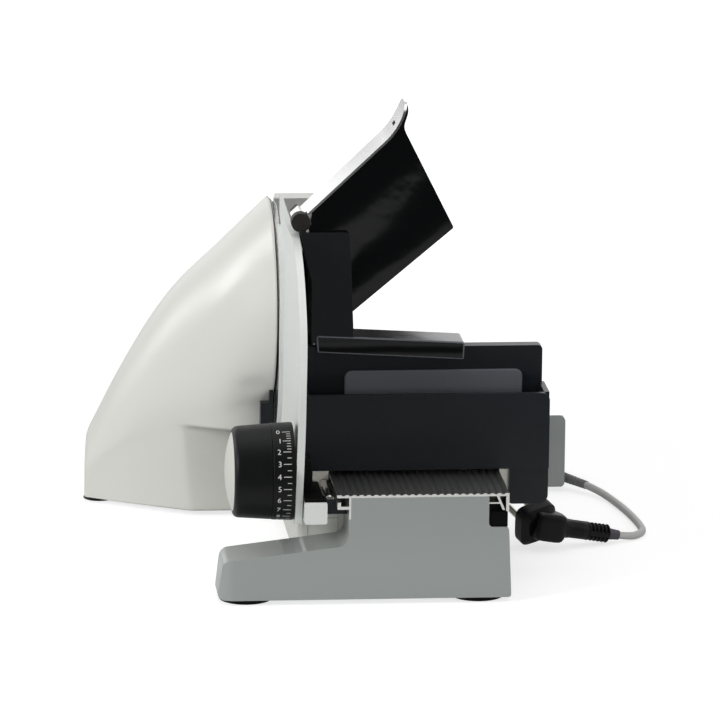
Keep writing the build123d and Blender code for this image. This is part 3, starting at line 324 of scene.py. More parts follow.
materials = {name: makeFinish(name, look) for name, look in finishes.items()}
slotOf = {row["node"]: row["material_slot"] for row in frame["record"]["subparts"]}
for name, piece in nodes.items():
    piece.data.materials.clear()
    piece.data.materials.append(materials[slotOf[name]])
print("finishes made:", len(materials))

# Mesh helpers

meshLook = {"doubles": 1e-6, "slivers": 1e-7, "leastReach": 0.02, "cornerSteps": 7, "shadeWeight": 60}


def gridFaces(rows, columns, closeRows=False, closeColumns=True, flip=False):
    # quads between neighbours of a grid of points numbered row by row
    row = np.arange(rows if closeRows else rows - 1)[:, None]
    column = np.arange(columns if closeColumns else columns - 1)
    below = row * columns
    above = (row + 1) % rows * columns
    beside = (column + 1) % columns
    quads = np.stack([below + column, below + beside, above + beside, above + column], -1).reshape(-1, 4)
    return quads[:, ::-1] if flip else quads


def gridShell(points, **closing):
    rows, columns = points.shape[:2]
    return points.reshape(-1, 3), gridFaces(rows, columns, **closing).tolist()


def meshFrom(name, shells, fixNormals=True):
    # one mesh from (points, faces) shells in drawing millimetres, doubles merged
    mesh = bpy.data.meshes.new(name)
    starts = np.cumsum([0] + [len(points) for points, faces in shells]).tolist()
    corners = np.concatenate([points for points, faces in shells])
    faces = [[corner + first for corner in face]
             for (points, shellFaces), first in zip(shells, starts) for face in shellFaces]
    mesh.from_pydata(toFrame(corners).tolist(), [], faces)
    work = bmesh.new()
    work.from_mesh(mesh)
    bmesh.ops.remove_doubles(work, verts=work.verts, dist=meshLook["doubles"])
    bmesh.ops.dissolve_degenerate(work, edges=work.edges, dist=meshLook["slivers"])
    if fixNormals:
        bmesh.ops.recalc_face_normals(work, faces=work.faces)
    work.to_mesh(mesh)
    work.free()
    mesh.shade_smooth()
    return mesh


def readRows(items, key):
    # three numbers for each vertex or face of a mesh, one row each
    values = np.empty(len(items) * 3)
    items.foreach_get(key, values)
    return values.reshape(-1, 3)


def movePoints(mesh, points):
    mesh.vertices.foreach_set("co", toFrame(points).ravel())
    mesh.update()


def paintFaces(mesh, index):
    mesh.polygons.foreach_set("material_index", index.astype(np.int32))


def fullTurn(count):
    return np.linspace(0, 2 * math.pi, count, endpoint=False)


def easedPath(corners):
    # corners given as (u, v, reach): each one is a parabola that leaves and meets its sides at that reach
    corners = np.asarray(corners, float)
    place, reach = corners[:, :2], np.maximum(corners[:, 2:], meshLook["leastReach"])
    before = unit(np.roll(place, 1, axis=0) - place)
    after = unit(np.roll(place, -1, axis=0) - place)
    t = np.linspace(0, 1, meshLook["cornerSteps"])[:, None]
    start, end = (place + before * reach)[:, None], (place + after * reach)[:, None]
    return (start * (1 - t) ** 2 + place[:, None] * 2 * t * (1 - t) + end * t ** 2).reshape(-1, 2)


def aroundAxis(profile, origin, axis, side, turns, **closing):
    # (along, radius) pairs carried round an axis: origin + along * axis + radius * (cos * side + sin * other)
    axis = unit(axis)
    side = unit(side - axis * np.dot(side, axis))
    angle = fullTurn(turns)
    ring = np.cos(angle)[:, None] * side + np.sin(angle)[:, None] * np.cross(axis, side)
    profile = np.asarray(profile, float)
    if profile.ndim == 2:
        profile = profile[:, None]
    along, radius = profile[..., 0, None], profile[..., 1, None]
    return gridShell(origin + along * axis + radius * ring, **closing)


def pulses(values, centres, width):
    # sum of flat-topped bumps, exp(-(distance / width)^4), one at each centre
    return np.exp(-((values[..., None] - np.asarray(centres)) / width) ** 4).sum(-1)


def smoothStep(low, high, values):
    t = np.clip((values - low) / (high - low), 0, 1)
    return t * t * (3 - 2 * t)


def addPiece(name, mesh, body, slot, replaced=(), finish=None, evenShade=True):
    piece = newObject(name, mesh)
    mesh.materials.clear()
    mesh.materials.append(materials[finish or slot])
    if evenShade:
        piece.modifiers.new("evenShade", "WEIGHTED_NORMAL").weight = meshLook["shadeWeight"]
    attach(piece, body)
    if replaced:
        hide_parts(*replaced)
    return piece


def addShells(name, shells, *details, fixNormals=True, **more):
    return addPiece(name, meshFrom(name, shells, fixNormals), *details, **more)


# Plug and boot, drawn along the plug's own axis from the cord's end

mainsPlug = {
    "tip": (228.5, 150, 5), "heading": (-53.6, -15.4, 11.8), "turns": 96,
    # a rise in radius and the two places between which it comes
    "boot": {
        "length": 24, "neck": 3.35, "taper": (0.6, 0, 7.5), "collar": (2.4, 7.4, 9.2),
        "slots": (10.6, 13.5, 16.4, 19.3, 22.2), "slotWidth": 0.85, "slotDepth": 1.7,
        "spines": (0.16, 0.34), "rows": 150, "turns": 80},
    # place along the plug, half height, half width
    "grip": (
        (24, 0, 0), (24.05, 6.2, 6.2), (30, 6.2, 6.2), (37, 6.25, 6.25), (41.5, 6.7, 6.7),
        (42.4, 7.4, 7.5), (43.4, 8.4, 8.7), (44.6, 9.2, 9.6), (46.2, 9.7, 10.2), (48.5, 9.95, 10.45),
        (52, 10, 10.5), (58, 10, 10.5), (62, 9.8, 10.3), (63.6, 9.3, 9.8), (64.5, 8.5, 9),
        (65, 7, 7), (65, 0, 0)),
    "squareness": ((24, 40, 46, 65), (2, 2.2, 5, 5)), "shift": (-0.5, 41, 46),
    "seamHeight": 0.28, "seamWidth": 0.035,
    "puck": {
        "place": (0, 6.5, 60), "axis": (0.28, 0.92, 0.27), "turn": 0.35, "shrink": 0.9, "squareness": 5,
        "profile": (
            (-7.5, 0, 0), (-7.5, 11.4, 0.6), (-3.5, 15.4, 0.6), (4.5, 15.4, 0.6), (7.5, 12.4, 0.6),
            (7.5, 9.2, 0.4), (6.7, 8.6, 0.4), (6.7, 0, 0))},
    "pins": {"places": (-9.5, 9.5), "radius": 2.2, "ends": (1.5, 26.5), "dome": 2, "turns": 40},
}
plugAxis = unit(mainsPlug["heading"])
plugUp = unit(np.array([0, 0, 1]) - plugAxis * plugAxis[2])
plugTurn = np.stack([plugUp, np.cross(plugAxis, plugUp), plugAxis])
puckAxis = unit(mainsPlug["puck"]["axis"] @ plugTurn)


def fromPlug(local):
    # the plug's own (up, side, along) to drawing millimetres
    return mainsPlug["tip"] + np.asarray(local) @ plugTurn


def addBoot(spec, tip):
    # radius(s) with rings of slots, cut everywhere but along the two side spines
    s = np.linspace(0, spec["length"], spec["rows"])
    taper, *taperEnds = spec["taper"]
    collar, *collarEnds = spec["collar"]
    body = spec["neck"] + taper * smoothStep(*taperEnds, s) + collar * smoothStep(*collarEnds, s)
    cut = pulses(s, spec["slots"], spec["slotWidth"])
    between = smoothStep(*spec["spines"], np.abs(np.sin(fullTurn(spec["turns"]))))
    radius = body[:, None] - spec["slotDepth"] * cut[:, None] * between
    along = np.repeat(np.pad(s, 1, "edge")[:, None], spec["turns"], axis=1)
    profile = np.stack([along, np.pad(radius, ((1, 1), (0, 0)))], -1)
    shell = aroundAxis(profile, tip, plugAxis, (0, -1, 0), spec["turns"])
    mesh = addShells("plugBoot", [shell], "base", "plug_black", ("plug_boot",), evenShade=False).data
    mesh.materials.append(materials["bootTip"])
    far = (readRows(mesh.polygons, "center") - toFrame(tip)) @ plugAxis * 1000
    paintFaces(mesh, far < collarEnds[0])


def gripShell(spec):
    # superellipse sections |x/a|^n + |y/b|^n = 1 that swell from the round neck to a rounded block
    t = fullTurn(spec["turns"])
    s, a, b = np.array(spec["grip"]).T[..., None]
    power = 2 / np.interp(s, *spec["squareness"])
    up = a * np.sign(np.cos(t)) * np.abs(np.cos(t)) ** power
    side = b * np.sign(np.sin(t)) * np.abs(np.sin(t)) ** power
    shift, *shiftEnds = spec["shift"]
    # moulding seam: a fine ridge that stands along the grip's top
    ridge = np.exp(-(np.minimum(t, 2 * math.pi - t) / spec["seamWidth"]) ** 2)
    up = up + spec["seamHeight"] * ridge * (a > 0)
    side = side + shift * smoothStep(*shiftEnds, s)
    return gridShell(fromPlug(np.stack([up, side, np.broadcast_to(s, up.shape)], -1)))


def puckShell(spec, turns):
    # a rounded square disc, radius / (|cos|^n + |sin|^n)^(1/n), with chamfered edges
    profile = easedPath(spec["profile"])
    turn = fullTurn(turns) + spec["turn"]
    power = spec["squareness"]
    square = (np.abs(np.cos(turn)) ** power + np.abs(np.sin(turn)) ** power) ** (-1 / power) * spec["shrink"]
    profile = np.stack([np.repeat(profile[:, :1], turns, axis=1), profile[:, 1:] * square], -1)
    return aroundAxis(profile, fromPlug(spec["place"]), puckAxis, plugAxis, turns, closeRows=True)


def addPins(spec, centre):
    # rods with domed tips on both sides of the puck's middle
    across = unit(plugAxis - puckAxis * np.dot(plugAxis, puckAxis))
    low, high = spec["ends"]
    radius, dome = spec["radius"], spec["dome"]
    quarter = np.linspace(0, math.pi / 2, 8)
    tip = np.column_stack([high - dome + dome * np.sin(quarter), radius * np.cos(quarter)])
    rod = np.vstack([[(low, 0), (low, radius)], tip])
    pins = [aroundAxis(rod, centre + across * place, puckAxis, plugUp, spec["turns"])
            for place in spec["places"]]
    addShells("plugPins", pins, "base", "nickel", ("plug_pins",))


def addPlug(spec):
    addBoot(spec["boot"], spec["tip"])
    shells = [gripShell(spec), puckShell(spec["puck"], spec["turns"])]
    addShells("plugBody", shells, "base", "plug_black", ("plug_body",))
    addPins(spec["pins"], fromPlug(spec["puck"]["place"]))


addPlug(mainsPlug)

# Strain relief

strainRelief = {
    "exit": (209, 300.5, 8.2), "heading": (14, -16.9, -1.8), "depth": 7, "length": 23,
    "radii": (3.7, 2.95), "ribs": (4, 7, 10, 13, 16), "ribDepth": 0.22, "ribWidth": 0.8,
    "rows": 140, "turns": 64,
}


def addRelief(spec):
    # cone with ring grooves: radius = straight taper - depth * pulses
    s = np.linspace(-spec["depth"], spec["length"], spec["rows"])
    groove = spec["ribDepth"] * pulses(s, spec["ribs"], spec["ribWidth"])
    radius = np.interp(s, (s[0], s[-1]), spec["radii"]) - groove
    profile = np.column_stack([np.pad(s, 1, "edge"), np.pad(radius, 1)])
    shell = aroundAxis(profile, spec["exit"], spec["heading"], (0, 0, 1), spec["turns"])
    # the darker grey finish paints the shade on the strain relief
    addShells("cordGland", [shell], "base", slotOf["cord_gland"], ("cord_gland",), finish="glandPaintedShade")


addRelief(strainRelief)

# Mains cord, in the drawing's millimetres from its gland to the plug's boot

mainsCord = {
    "points": (
        (223, 283.6, 6.4), (230, 274.2, 5), (236.6, 258.5, 3.4), (241.4, 239, 2.8),
        (244.8, 218, 2.8), (247, 199, 2.8), (248.4, 182, 2.8), (248.2, 168, 2.8),
        (244, 158.4, 2.9), (236.9, 152.42, 3.2), (228.5, 150, 5)),
    "diameter": 5.2, "length": 0.1484,
}


def addCord(spec):
    curve = bpy.data.curves.new("mainsCord", "CURVE")
    curve.dimensions = "3D"
    spline = curve.splines.new("NURBS")
    points = toFrame(spec["points"])
    spline.points.add(len(points) - 1)
    spline.points.foreach_set("co", np.insert(points, 3, 1, axis=1).ravel())
    spline.order_u = 3
    spline.use_endpoint_u = True
    spline.resolution_u = 10
    curve.bevel_depth = spec["diameter"] / 2000
    curve.bevel_resolution = 6
    curve.use_fill_caps = True
    piece = newObject("mainsCord", curve)
    curve.materials.append(materials["cord_grey"])
    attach(piece, "base")
    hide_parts("mains_cord")


addCord(mainsCord)
print("cord laid")

# Motor housing: one pressed skin over the drive, values in drawing millimetres at five stations

motorHousing = {
    "stations": (-130, -105, -70, -35, -4),
    "crown": ((305, 43.1), (290, 90.3), (275, 145.8), (262, 187.7), (250, 219.6)),
    "backShoulder": (30, 65, 102, 130, 149),
    "frontShoulder": ((284, 30.5), (265, 64), (243, 114.5), (215, 163), (197, 187.5)),
    "bulge": ((281, 26), (262.5, 54), (239, 94), (206, 137), (183, 158)),
    "low": ((280, 20), (263, 42), (240.5, 60), (214, 80), (212, 90)),
    "sill": (280, 264, 243.6, 224, 217),
    "back": 335, "floor": 3.5, "wall": 3.5,
    "endRound": 3, "endRows": 9, "endPivot": (307.5, 3.5), "endReach": 34,
    "endSkew": {"slope": 0.1, "front": 280, "until": -70},
    "recess": {"top": 64, "lip": 2.6, "back": 236.8, "ease": 1.8},
    "dimple": {"place": (-17, 100), "reach": (12, 7), "depth": 2.6},
    "softening": 16, "rows": 84, "columns": 280, "runSteps": 24, "frontSteps": 60, "topSteps": 90,
}
# black strip in the gap between housing and plate: painted shade
housingSeal = {"low": 68, "ends": (-4.2, -3), "depth": (0.5, 3)}


def throughStations(x, stations, values):
    # cubic through the stations' values, its slope at each one the mean slope of the two runs beside it
    stations = np.asarray(stations, float)
    values = np.asarray(values, float).reshape(len(stations), -1)
    width = np.diff(stations)[:, None]
    runs = np.diff(values, axis=0) / width
    slopes = np.vstack([runs[:1], (runs[:-1] + runs[1:]) / 2, runs[-1:]])
    index = np.clip(np.searchsorted(stations, x) - 1, 0, len(stations) - 2)
    span = width[index]
    t = (x - stations[index])[:, None] / span
    return (values[index] * (1 + 2 * t) * (1 - t) ** 2 + slopes[index] * span * t * (1 - t) ** 2
            + values[index + 1] * t * t * (3 - 2 * t) + slopes[index + 1] * span * t * t * (t - 1))


def arcThrough(start, middle, end, count):
    # circle through three points of each row, sampled evenly by angle from the first to the last
    points = start, middle, end
    sides = middle - end, end - start, start - middle
    double = 2 * sum(point[:, 0] * side[:, 1] for point, side in zip(points, sides))
    sums = sum((point ** 2).sum(1)[:, None] * side for point, side in zip(points, sides))
    centre = np.stack([sums[:, 1], -sums[:, 0]], -1) / double[:, None]
    angles = [np.arctan2(*(point - centre).T[::-1]) for point in points]
    toMiddle, toEnd = ((angle - angles[0]) % (2 * math.pi) for angle in angles[1:])
    sweep = np.where(toMiddle < toEnd, toEnd, toEnd - 2 * math.pi)
    turn = angles[0][:, None] + sweep[:, None] * np.linspace(0, 1, count)
    radius = np.linalg.norm(start - centre, axis=1)[:, None, None]
    return centre[:, None] + radius * np.stack([np.cos(turn), np.sin(turn)], -1)


def housingSections(spec, x):
    # front run, front arc, top arc and back run of each section, evenly spaced,
    # with corners worn soft by a running mean
    crown, shoulder, bulge, low, sill, rise = (
        throughStations(x, spec["stations"], spec[key])
        for key in ("crown", "frontShoulder", "bulge", "low", "sill", "backShoulder"))
    floor, back = (np.full_like(sill, spec[key]) for key in ("floor", "back"))
    foot, rear, heel = (np.hstack(pair) for pair in ((sill, floor), (back, rise), (back, floor)))
    t = np.linspace(0, 1, spec["runSteps"])[:, None]
    path = np.concatenate([
        foot[:, None] * (1 - t) + low[:, None] * t,
        arcThrough(low, bulge, shoulder, spec["frontSteps"])[:, 1:],
        arcThrough(shoulder, crown, rear, spec["topSteps"])[:, 1:],
        (rear[:, None] * (1 - t) + heel[:, None] * t)[:, 1:]], 1)
    steps = np.linalg.norm(np.diff(path, axis=1), axis=2)
    reach = np.hstack([np.zeros((len(path), 1)), np.cumsum(steps, axis=1)])
    even = np.linspace(0, 1, spec["columns"])
    sections = np.stack([
        np.column_stack([np.interp(even * far[-1], far, values) for values in run.T])
        for far, run in zip(reach, path)])
    for _ in range(spec["softening"]):
        sections[:, 1:-1] = (sections[:, :-2] + 2 * sections[:, 1:-1] + sections[:, 2:]) / 4
    return sections


def housingGrid(spec):
    left, *_, right = spec["stations"]
    rounding = spec["endRound"]
    # the left end closes with a quarter circle: x = left + r - r sin, drawn in by r - r cos towards a pivot
    quarter = np.linspace(math.pi / 2, 0, spec["endRows"])[:-1]
    straight = np.linspace(left + rounding, right, spec["rows"])
    x = np.concatenate([left + rounding * (1 - np.sin(quarter)), straight])
    inset = np.concatenate([rounding * (1 - np.cos(quarter)), np.zeros(spec["rows"])])
    sections = housingSections(spec, x)
    pivot = spec["endPivot"]
    sections = pivot + (sections - pivot) * (1 - inset / spec["endReach"])[:, None, None]
    y, z = sections[..., 0], sections[..., 1]
    across = np.broadcast_to(x[:, None], y.shape)
    front = np.arange(y.shape[1]) < np.argmax(z, axis=1)[:, None]
    # recess: below its lip y is the soft maximum of the skin and the recess's back wall
    recess = spec["recess"]
    below = smoothStep(recess["top"] + recess["lip"], recess["top"] - recess["lip"], z)
    deep = (y + recess["back"] + np.hypot(y - recess["back"], recess["ease"])) / 2
    y = np.where(front, y + (deep - y) * below, y)
    # dimple beside the plate guide: a Gaussian pressed backwards
    dimple = spec["dimple"]
    spread = sum(((value - middle) / reach) ** 2
                 for value, middle, reach in zip((across, z), dimple["place"], dimple["reach"]))
    y = np.where(front, y + dimple["depth"] * np.exp(-spread), y)
    # the left end stands square to the view: x + slope * (y - front), fading out towards the right
    skew = spec["endSkew"]
    fade = smoothStep(skew["until"], left, across)
    across = across + skew["slope"] * np.maximum(y - skew["front"], 0) * fade
    return np.stack([across, y, z], -1)


def addHousing(grid, spec):
    points, faces = gridShell(grid, closeColumns=False, flip=True)
    faces.append(list(range(grid.shape[1])))
    piece = addShells("motorHousing", [(points, faces)], "base", "enamel", ("motor_housing",),
                      fixNormals=False, evenShade=False)
    skin = piece.modifiers.new("wall", "SOLIDIFY")
    skin.thickness = spec["wall"] / 1000
    skin.offset = -1
    skin.use_even_offset = False


def addSeal(edge, spec):
    # a flat black strip carried up the housing's right edge, painted shade for the gap to the plate: a
    # rectangle across, drawn in along the edge's normal
    front = edge[:int(np.argmax(edge[:, 2])) + 1]
    front = front[front[:, 2] > spec["low"]][::2]
    along = unit(np.gradient(front[:, 1:], axis=0))
    inward = np.stack([along[:, 1], -along[:, 0]], -1)
    left, right = spec["ends"]
    near, far = spec["depth"]
    corners = ((left, near), (right, near), (right, far), (left, far))
    ring = np.stack([np.column_stack([np.full(len(front), x), front[:, 1:] + inward * depth])
                     for x, depth in corners], 1)
    caps = ring[[0, -1]].mean(1, keepdims=True).repeat(len(corners), axis=1)
    shell = gridShell(np.concatenate([caps[:1], ring, caps[1:]]))
    addShells("housingSeal", [shell], "base", "dark_plastic", finish="bracketBlack")


housingSkin = housingGrid(motorHousing)
addHousing(housingSkin, motorHousing)
addSeal(housingSkin[-1], housingSeal)
print("housing pressed")

# Setting knob: body, scale ring and domed cap turned about the spindle

settingKnob = {
    "centre": (0, 35, 82.5), "turns": 128,
    "body": (
        (-45.4, 3, 0.3), (-45.4, 30, 4.2), (-20.05, 31.7, 0.5), (-20.05, 28.4, 0.2), (-5.5, 28.4, 0.2),
        (-5.5, 24.4, 0.3), (-39.4, 24.4, 2), (-39.4, 12, 1.5), (-2.6, 12, 0.4), (-2.6, 8, 0.2),
        (-43.4, 8, 0.2), (-43.4, 3, 0.2)),
    "ring": ((-19.95, 28.4, 0.2), (-19.95, 31.9, 0.7), (-5.5, 32.4, 0.8), (-5.5, 28.4, 0.2)),
    "cap": {"radius": 26, "height": 4.6, "seat": -45.4, "power": 2.2, "ease": 0.3, "stem": (2, 3),
            "rows": 26, "turns": 96},
}


def addKnob(spec):
    centre, axis, side = spec["centre"], (1, 0, 0), (0, -1, 0)
    for name, node, key in (("knobBody", "knob_body", "body"), ("scaleRing", "scale_ring", "ring")):
        shell = aroundAxis(easedPath(spec[key]), centre, axis, side, spec["turns"], closeRows=True)
        addShells(name, [shell], "knob", "knob_black", (node,))
    # dome: x = seat - height * (1 - (radius / rim)^power), its rim eased into the flat back
    cap = spec["cap"]
    rim, seat, ease = cap["radius"], cap["seat"], cap["ease"]
    length, stem = cap["stem"]
    radius = rim * np.sin(np.linspace(0, math.pi / 2, cap["rows"]))
    dome = seat - cap["height"] * (1 - (radius / rim) ** cap["power"])
    back = ((seat + ease, rim - ease), (seat + ease, stem), (seat + length, stem), (seat + length, 0))
    shell = aroundAxis(np.vstack([np.column_stack([dome, radius]), back]), centre, axis, side, cap["turns"])
    addShells("knobCap", [shell], "knob", "cap_grey", ("knob_cap",))


addKnob(settingKnob)

# Dial print on the ring: 0 to 20, fifteen degrees apart, quarters up to 2 and halves above

dialPrint = {
    "start": 67, "step": 15, "last": 20, "fineUntil": 2, "fineStep": 0.25, "plainStep": 0.5,
    "height": 3.7, "pairScale": 0.86, "digitsRight": -14.9, "long": (-13.4, -8.1), "short": (-10.8, -8.1),
    "stroke": 0.42, "ringRadius": (31.9, 32.4), "ringEnds": (-19.95, -5.5), "lift": (-0.12, 0.09),
}


def onRing(spec, x, arc, raised, value):
    # flat (x, arc) print wrapped on the ring: the arc length becomes an angle up from the front
    radius = np.interp(x, spec["ringEnds"], spec["ringRadius"])
    turn = np.radians(spec["start"] - spec["step"] * value) + arc / radius
    reach = radius + np.where(raised > 0, spec["lift"][1], spec["lift"][0])
    centre = settingKnob["centre"]
    return np.stack([x, centre[1] - reach * np.cos(turn), centre[2] + reach * np.sin(turn)], -1)


def digitShell(spec, number):
    curve = bpy.data.curves.new("digits", "FONT")
    curve.body = str(number)
    curve.size = 1
    curve.extrude = 0.5
    curve.resolution_u = 5
    flat = bpy.data.objects.new("digits", curve)
    mesh = bpy.data.meshes.new_from_object(flat)
    points = readRows(mesh.vertices, "co")
    faces = [list(face.vertices) for face in mesh.polygons]
    bpy.data.objects.remove(flat)
    bpy.data.meshes.remove(mesh)
    low, high = points.min(0), points.max(0)
    scale = spec["height"] * (1 if number < 10 else spec["pairScale"]) / (high[1] - low[1])
    x = (points[:, 0] - high[0]) * scale + spec["digitsRight"]
    arc = (points[:, 1] - (low[1] + high[1]) / 2) * scale
    return onRing(spec, x, arc, points[:, 2], number), faces


def tickShell(spec, value):
    left, right = spec["long"] if value == round(value) else spec["short"]
    half = spec["stroke"] / 2
    across, upwards, raised = np.indices((2, 2, 2)).reshape(3, -1)
    x = np.where(across, right, left)
    arc = np.where(upwards, half, -half)
    faces = [[0, 1, 3, 2], [4, 6, 7, 5], [0, 4, 5, 1], [2, 3, 7, 6], [0, 2, 6, 4], [1, 5, 7, 3]]
    return onRing(spec, x, arc, raised, value), faces


def addDial(spec):
    fine = np.arange(0, spec["fineUntil"], spec["fineStep"])
    plain = np.arange(spec["fineUntil"], spec["last"] + spec["plainStep"] / 2, spec["plainStep"])
    shells = [digitShell(spec, number) for number in range(spec["last"] + 1)]
    shells += [tickShell(spec, value) for value in np.concatenate([fine, plain]).tolist()]
    dial = addShells("dialNumbers", shells, "knob", "cap_grey", finish="dialPrint", evenShade=False)
    dial.data.shade_flat()


addDial(dialPrint)
print("knob and dial turned")

# Suction feet: places and radii, and the cup's profile as height, share of the radius and offset from it

suctionFeet = {
    "places": ((-37, 20, 17.5), (117, 20, 17.5), (-119, 291, 11), (193, 322, 17.5)),
    "cup": (
        (1.6, 0, 0), (1.3, 0.35, 0), (0.7, 0.65, 0), (0.1, 1, -1.6), (0, 1, -0.9), (0.15, 1, -0.25),
        (0.5, 1, 0), (0.95, 1, -0.15), (1.3, 1, -0.55), (2.4, 1, -1.05), (3.2, 1, -1.4), (3.5, 1, -1.9),
        (3.5, 0, 4), (12.5, 0, 4), (12.5, 0, 0)),
    "turns": 72,
}


def addFeet(spec):
    # hollow below, thin lip on the table, sloping back to the stem
    height, share, offset = np.array(spec["cup"]).T
    shells = []
    for x, y, radius in spec["places"]:
        profile = np.column_stack([height, radius * share + offset])
        shells.append(aroundAxis(profile, (x, y, 0), (0, 0, 1), (0, -1, 0), spec["turns"]))
    addShells("suctionFeet", shells, "base", "foot_rubber", ("suction_feet",))


addFeet(suctionFeet)
print("feet made")

# Nodes whose shape is right, with the edge radius in millimetres that each one shows
edges = {
    "front_foot": 1.6, "rear_foot": 1.8, "base_beam": 0.8, "carriage_track": 0.15, "guide_rod": 0.1,
    "rod_blocks": 0.5, "blade_hood": 0.8, "plate_guide": 0.5, "stop_plate": 1.3, "spindle_block": 0.6,
    "spindle_bracket": 0.6, "carriage_shell": 1.2, "food_tray": 0.4, "grip_pad": 1.1, "rod_bushes": 0.4,
    "track_glides": 0.3, "holder_saddle": 1.2, "holder_tower": 0.9, "hinge_pin": 0.3, "flap_plate": 0.12,
    "flap_box": 0.8, "flap_back": 0.3, "power_button": 0.4, "pulse_button": 0.4, "plate_carrier": 0.6,
    "blade_hub": 0.5, "housing_base": 0.4, "front_foot_base": 0.4, "rear_foot_cover": 0.4,
}
faceFinish = {
    "holder_tower": "towerBlack", "holder_saddle": "saddleBlack", "spindle_bracket": "bracketBlack",
    "blade_hood": "hoodPaintedLight"}
# the rounded edges of these nodes take a lighter grey: painted highlight
edgeHighlightPaint = {"holder_tower": "edgePaintedHighlight", "holder_saddle": "edgePaintedHighlight", "carriage_shell": "edgePaintedHighlight"}
edgeLook = {"doubles": 2e-6, "flat": 0.5, "sharp": 32, "segments": 3}


def dressNode(nodeName, edge, look):
    # copy of a node's mesh with its triangles merged, flats joined and sharp edges rounded
    source = nodes[nodeName]
    first, *others = nodeName.split("_")
    name = first + "".join(word.capitalize() for word in others)
    mesh = source.data.copy()
    mesh.name = name
    normals = mesh.attributes.get("custom_normal")
    if normals is not None:
        mesh.attributes.remove(normals)
    work = bmesh.new()
    work.from_mesh(mesh)
    bmesh.ops.remove_doubles(work, verts=work.verts, dist=look["doubles"])
    bmesh.ops.dissolve_limit(work, angle_limit=math.radians(look["flat"]), verts=work.verts, edges=work.edges)
    work.to_mesh(mesh)
    work.free()
    mesh.shade_smooth()
    finish = faceFinish.get(nodeName)
    piece = addPiece(name, mesh, source["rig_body"], slotOf[nodeName], (nodeName,), finish, evenShade=False)
    rounding = piece.modifiers.new("edges", "BEVEL")
    rounding.width = edge / 1000
    rounding.segments = look["segments"]
    rounding.limit_method = "ANGLE"
    rounding.angle_limit = math.radians(look["sharp"])
    rounding.use_clamp_overlap = True
    rounding.harden_normals = True
    # painted highlight: the bevel's faces take the lighter grey
    if nodeName in edgeHighlightPaint:
        mesh.materials.append(materials[edgeHighlightPaint[nodeName]])
        rounding.material = 1
    return piece


dressed = {nodeName: dressNode(nodeName, edge, edgeLook).data for nodeName, edge in edges.items()}
print("nodes dressed:", len(dressed))

# Hinge: the steel's roll lies close round the pin, level with the sheet, and the tower's knuckles show grey

flapHinge = {
    "axis": (3.4, 239.4), "tilt": 43.3, "reach": 6.9, "pin": 2.55, "clearance": 0.1, "level": 2.7,
    "steel": {"squeeze": 0.5, "behind": 0}, "farKnuckle": {"squeeze": 0.25, "behind": 110},
    "knuckle": 6.6, "leftFacing": -0.6,
}
plateLean = {
    "lean": 1.8, "leanHeights": (140, 212),
    "lift": 11, "middle": 60, "spread": 48, "liftHeights": (183, 212),
}
trackEnd = {"finish": "sawnEnd", "forwardFacing": -0.9}


def rollSteel(mesh, spec, squeeze, behind):
    # r = pin + (r - pin) * squeeze within reach of the axis, then cut off above the level of the sheet
    points = fromFrame(readRows(mesh.vertices, "co"))
    tilt = math.radians(spec["tilt"])
    turn = np.array([[math.cos(tilt), math.sin(tilt)], [-math.sin(tilt), math.cos(tilt)]])
    local = (points[:, [0, 2]] - spec["axis"]) @ turn.T
    radius = np.linalg.norm(local, axis=1, keepdims=True)
    closer = local * (spec["pin"] + (radius - spec["pin"]) * squeeze) / np.maximum(radius, 1e-6)
    closer[:, 1] = np.minimum(closer[:, 1], spec["level"])
    moved = (radius < spec["reach"]) & (radius > spec["pin"] + spec["clearance"]) & (points[:, 1:2] > behind)
    points[:, [0, 2]] = np.where(moved, closer, local) @ turn + spec["axis"]
    movePoints(mesh, points)


def leanPlate(mesh, spec):
    # x + lean * step(z), z + lift * exp(-((y - middle) / spread)^2) * step(z): the plate's upper front corner
    points = fromFrame(readRows(mesh.vertices, "co"))
    z = points[:, 2].copy()
    points[:, 0] += spec["lean"] * smoothStep(*spec["leanHeights"], z)
    near = np.exp(-((points[:, 1] - spec["middle"]) / spec["spread"]) ** 2)
    points[:, 2] += spec["lift"] * near * smoothStep(*spec["liftHeights"], z)
    movePoints(mesh, points)


def shadeTower(mesh, spec):
    # painted shade: dark, dull faces towards the blade; grey within the knuckles' reach of the hinge's axis
    shade, knuckle = len(mesh.materials), len(mesh.materials) + 1
    for finish in ("towerShade", "knuckleGrey"):
        mesh.materials.append(materials[finish])
    index = np.where(readRows(mesh.polygons, "normal")[:, 0] < spec["leftFacing"], shade, 0)
    middles = fromFrame(readRows(mesh.polygons, "center"))
    far = np.linalg.norm(middles[:, [0, 2]] - spec["axis"], axis=1)
    paintFaces(mesh, np.where(far < spec["knuckle"], knuckle, index))


def shadeEnd(mesh, spec):
    # the sawn front end of an extrusion: its faces that look forwards
    ends = readRows(mesh.polygons, "normal")[:, 1] < spec["forwardFacing"]
    paintFaces(mesh, np.where(ends, len(mesh.materials), 0))
    mesh.materials.append(materials[spec["finish"]])


shadeEnd(dressed["carriage_track"], trackEnd)
leanPlate(dressed["stop_plate"], plateLean)
rollSteel(dressed["flap_plate"], flapHinge, **flapHinge["steel"])
rollSteel(dressed["holder_tower"], flapHinge, **flapHinge["farKnuckle"])
shadeTower(dressed["holder_tower"], flapHinge)

# Slabs that close the form: an outline carried along one axis, each end drawn in and closed to its middle

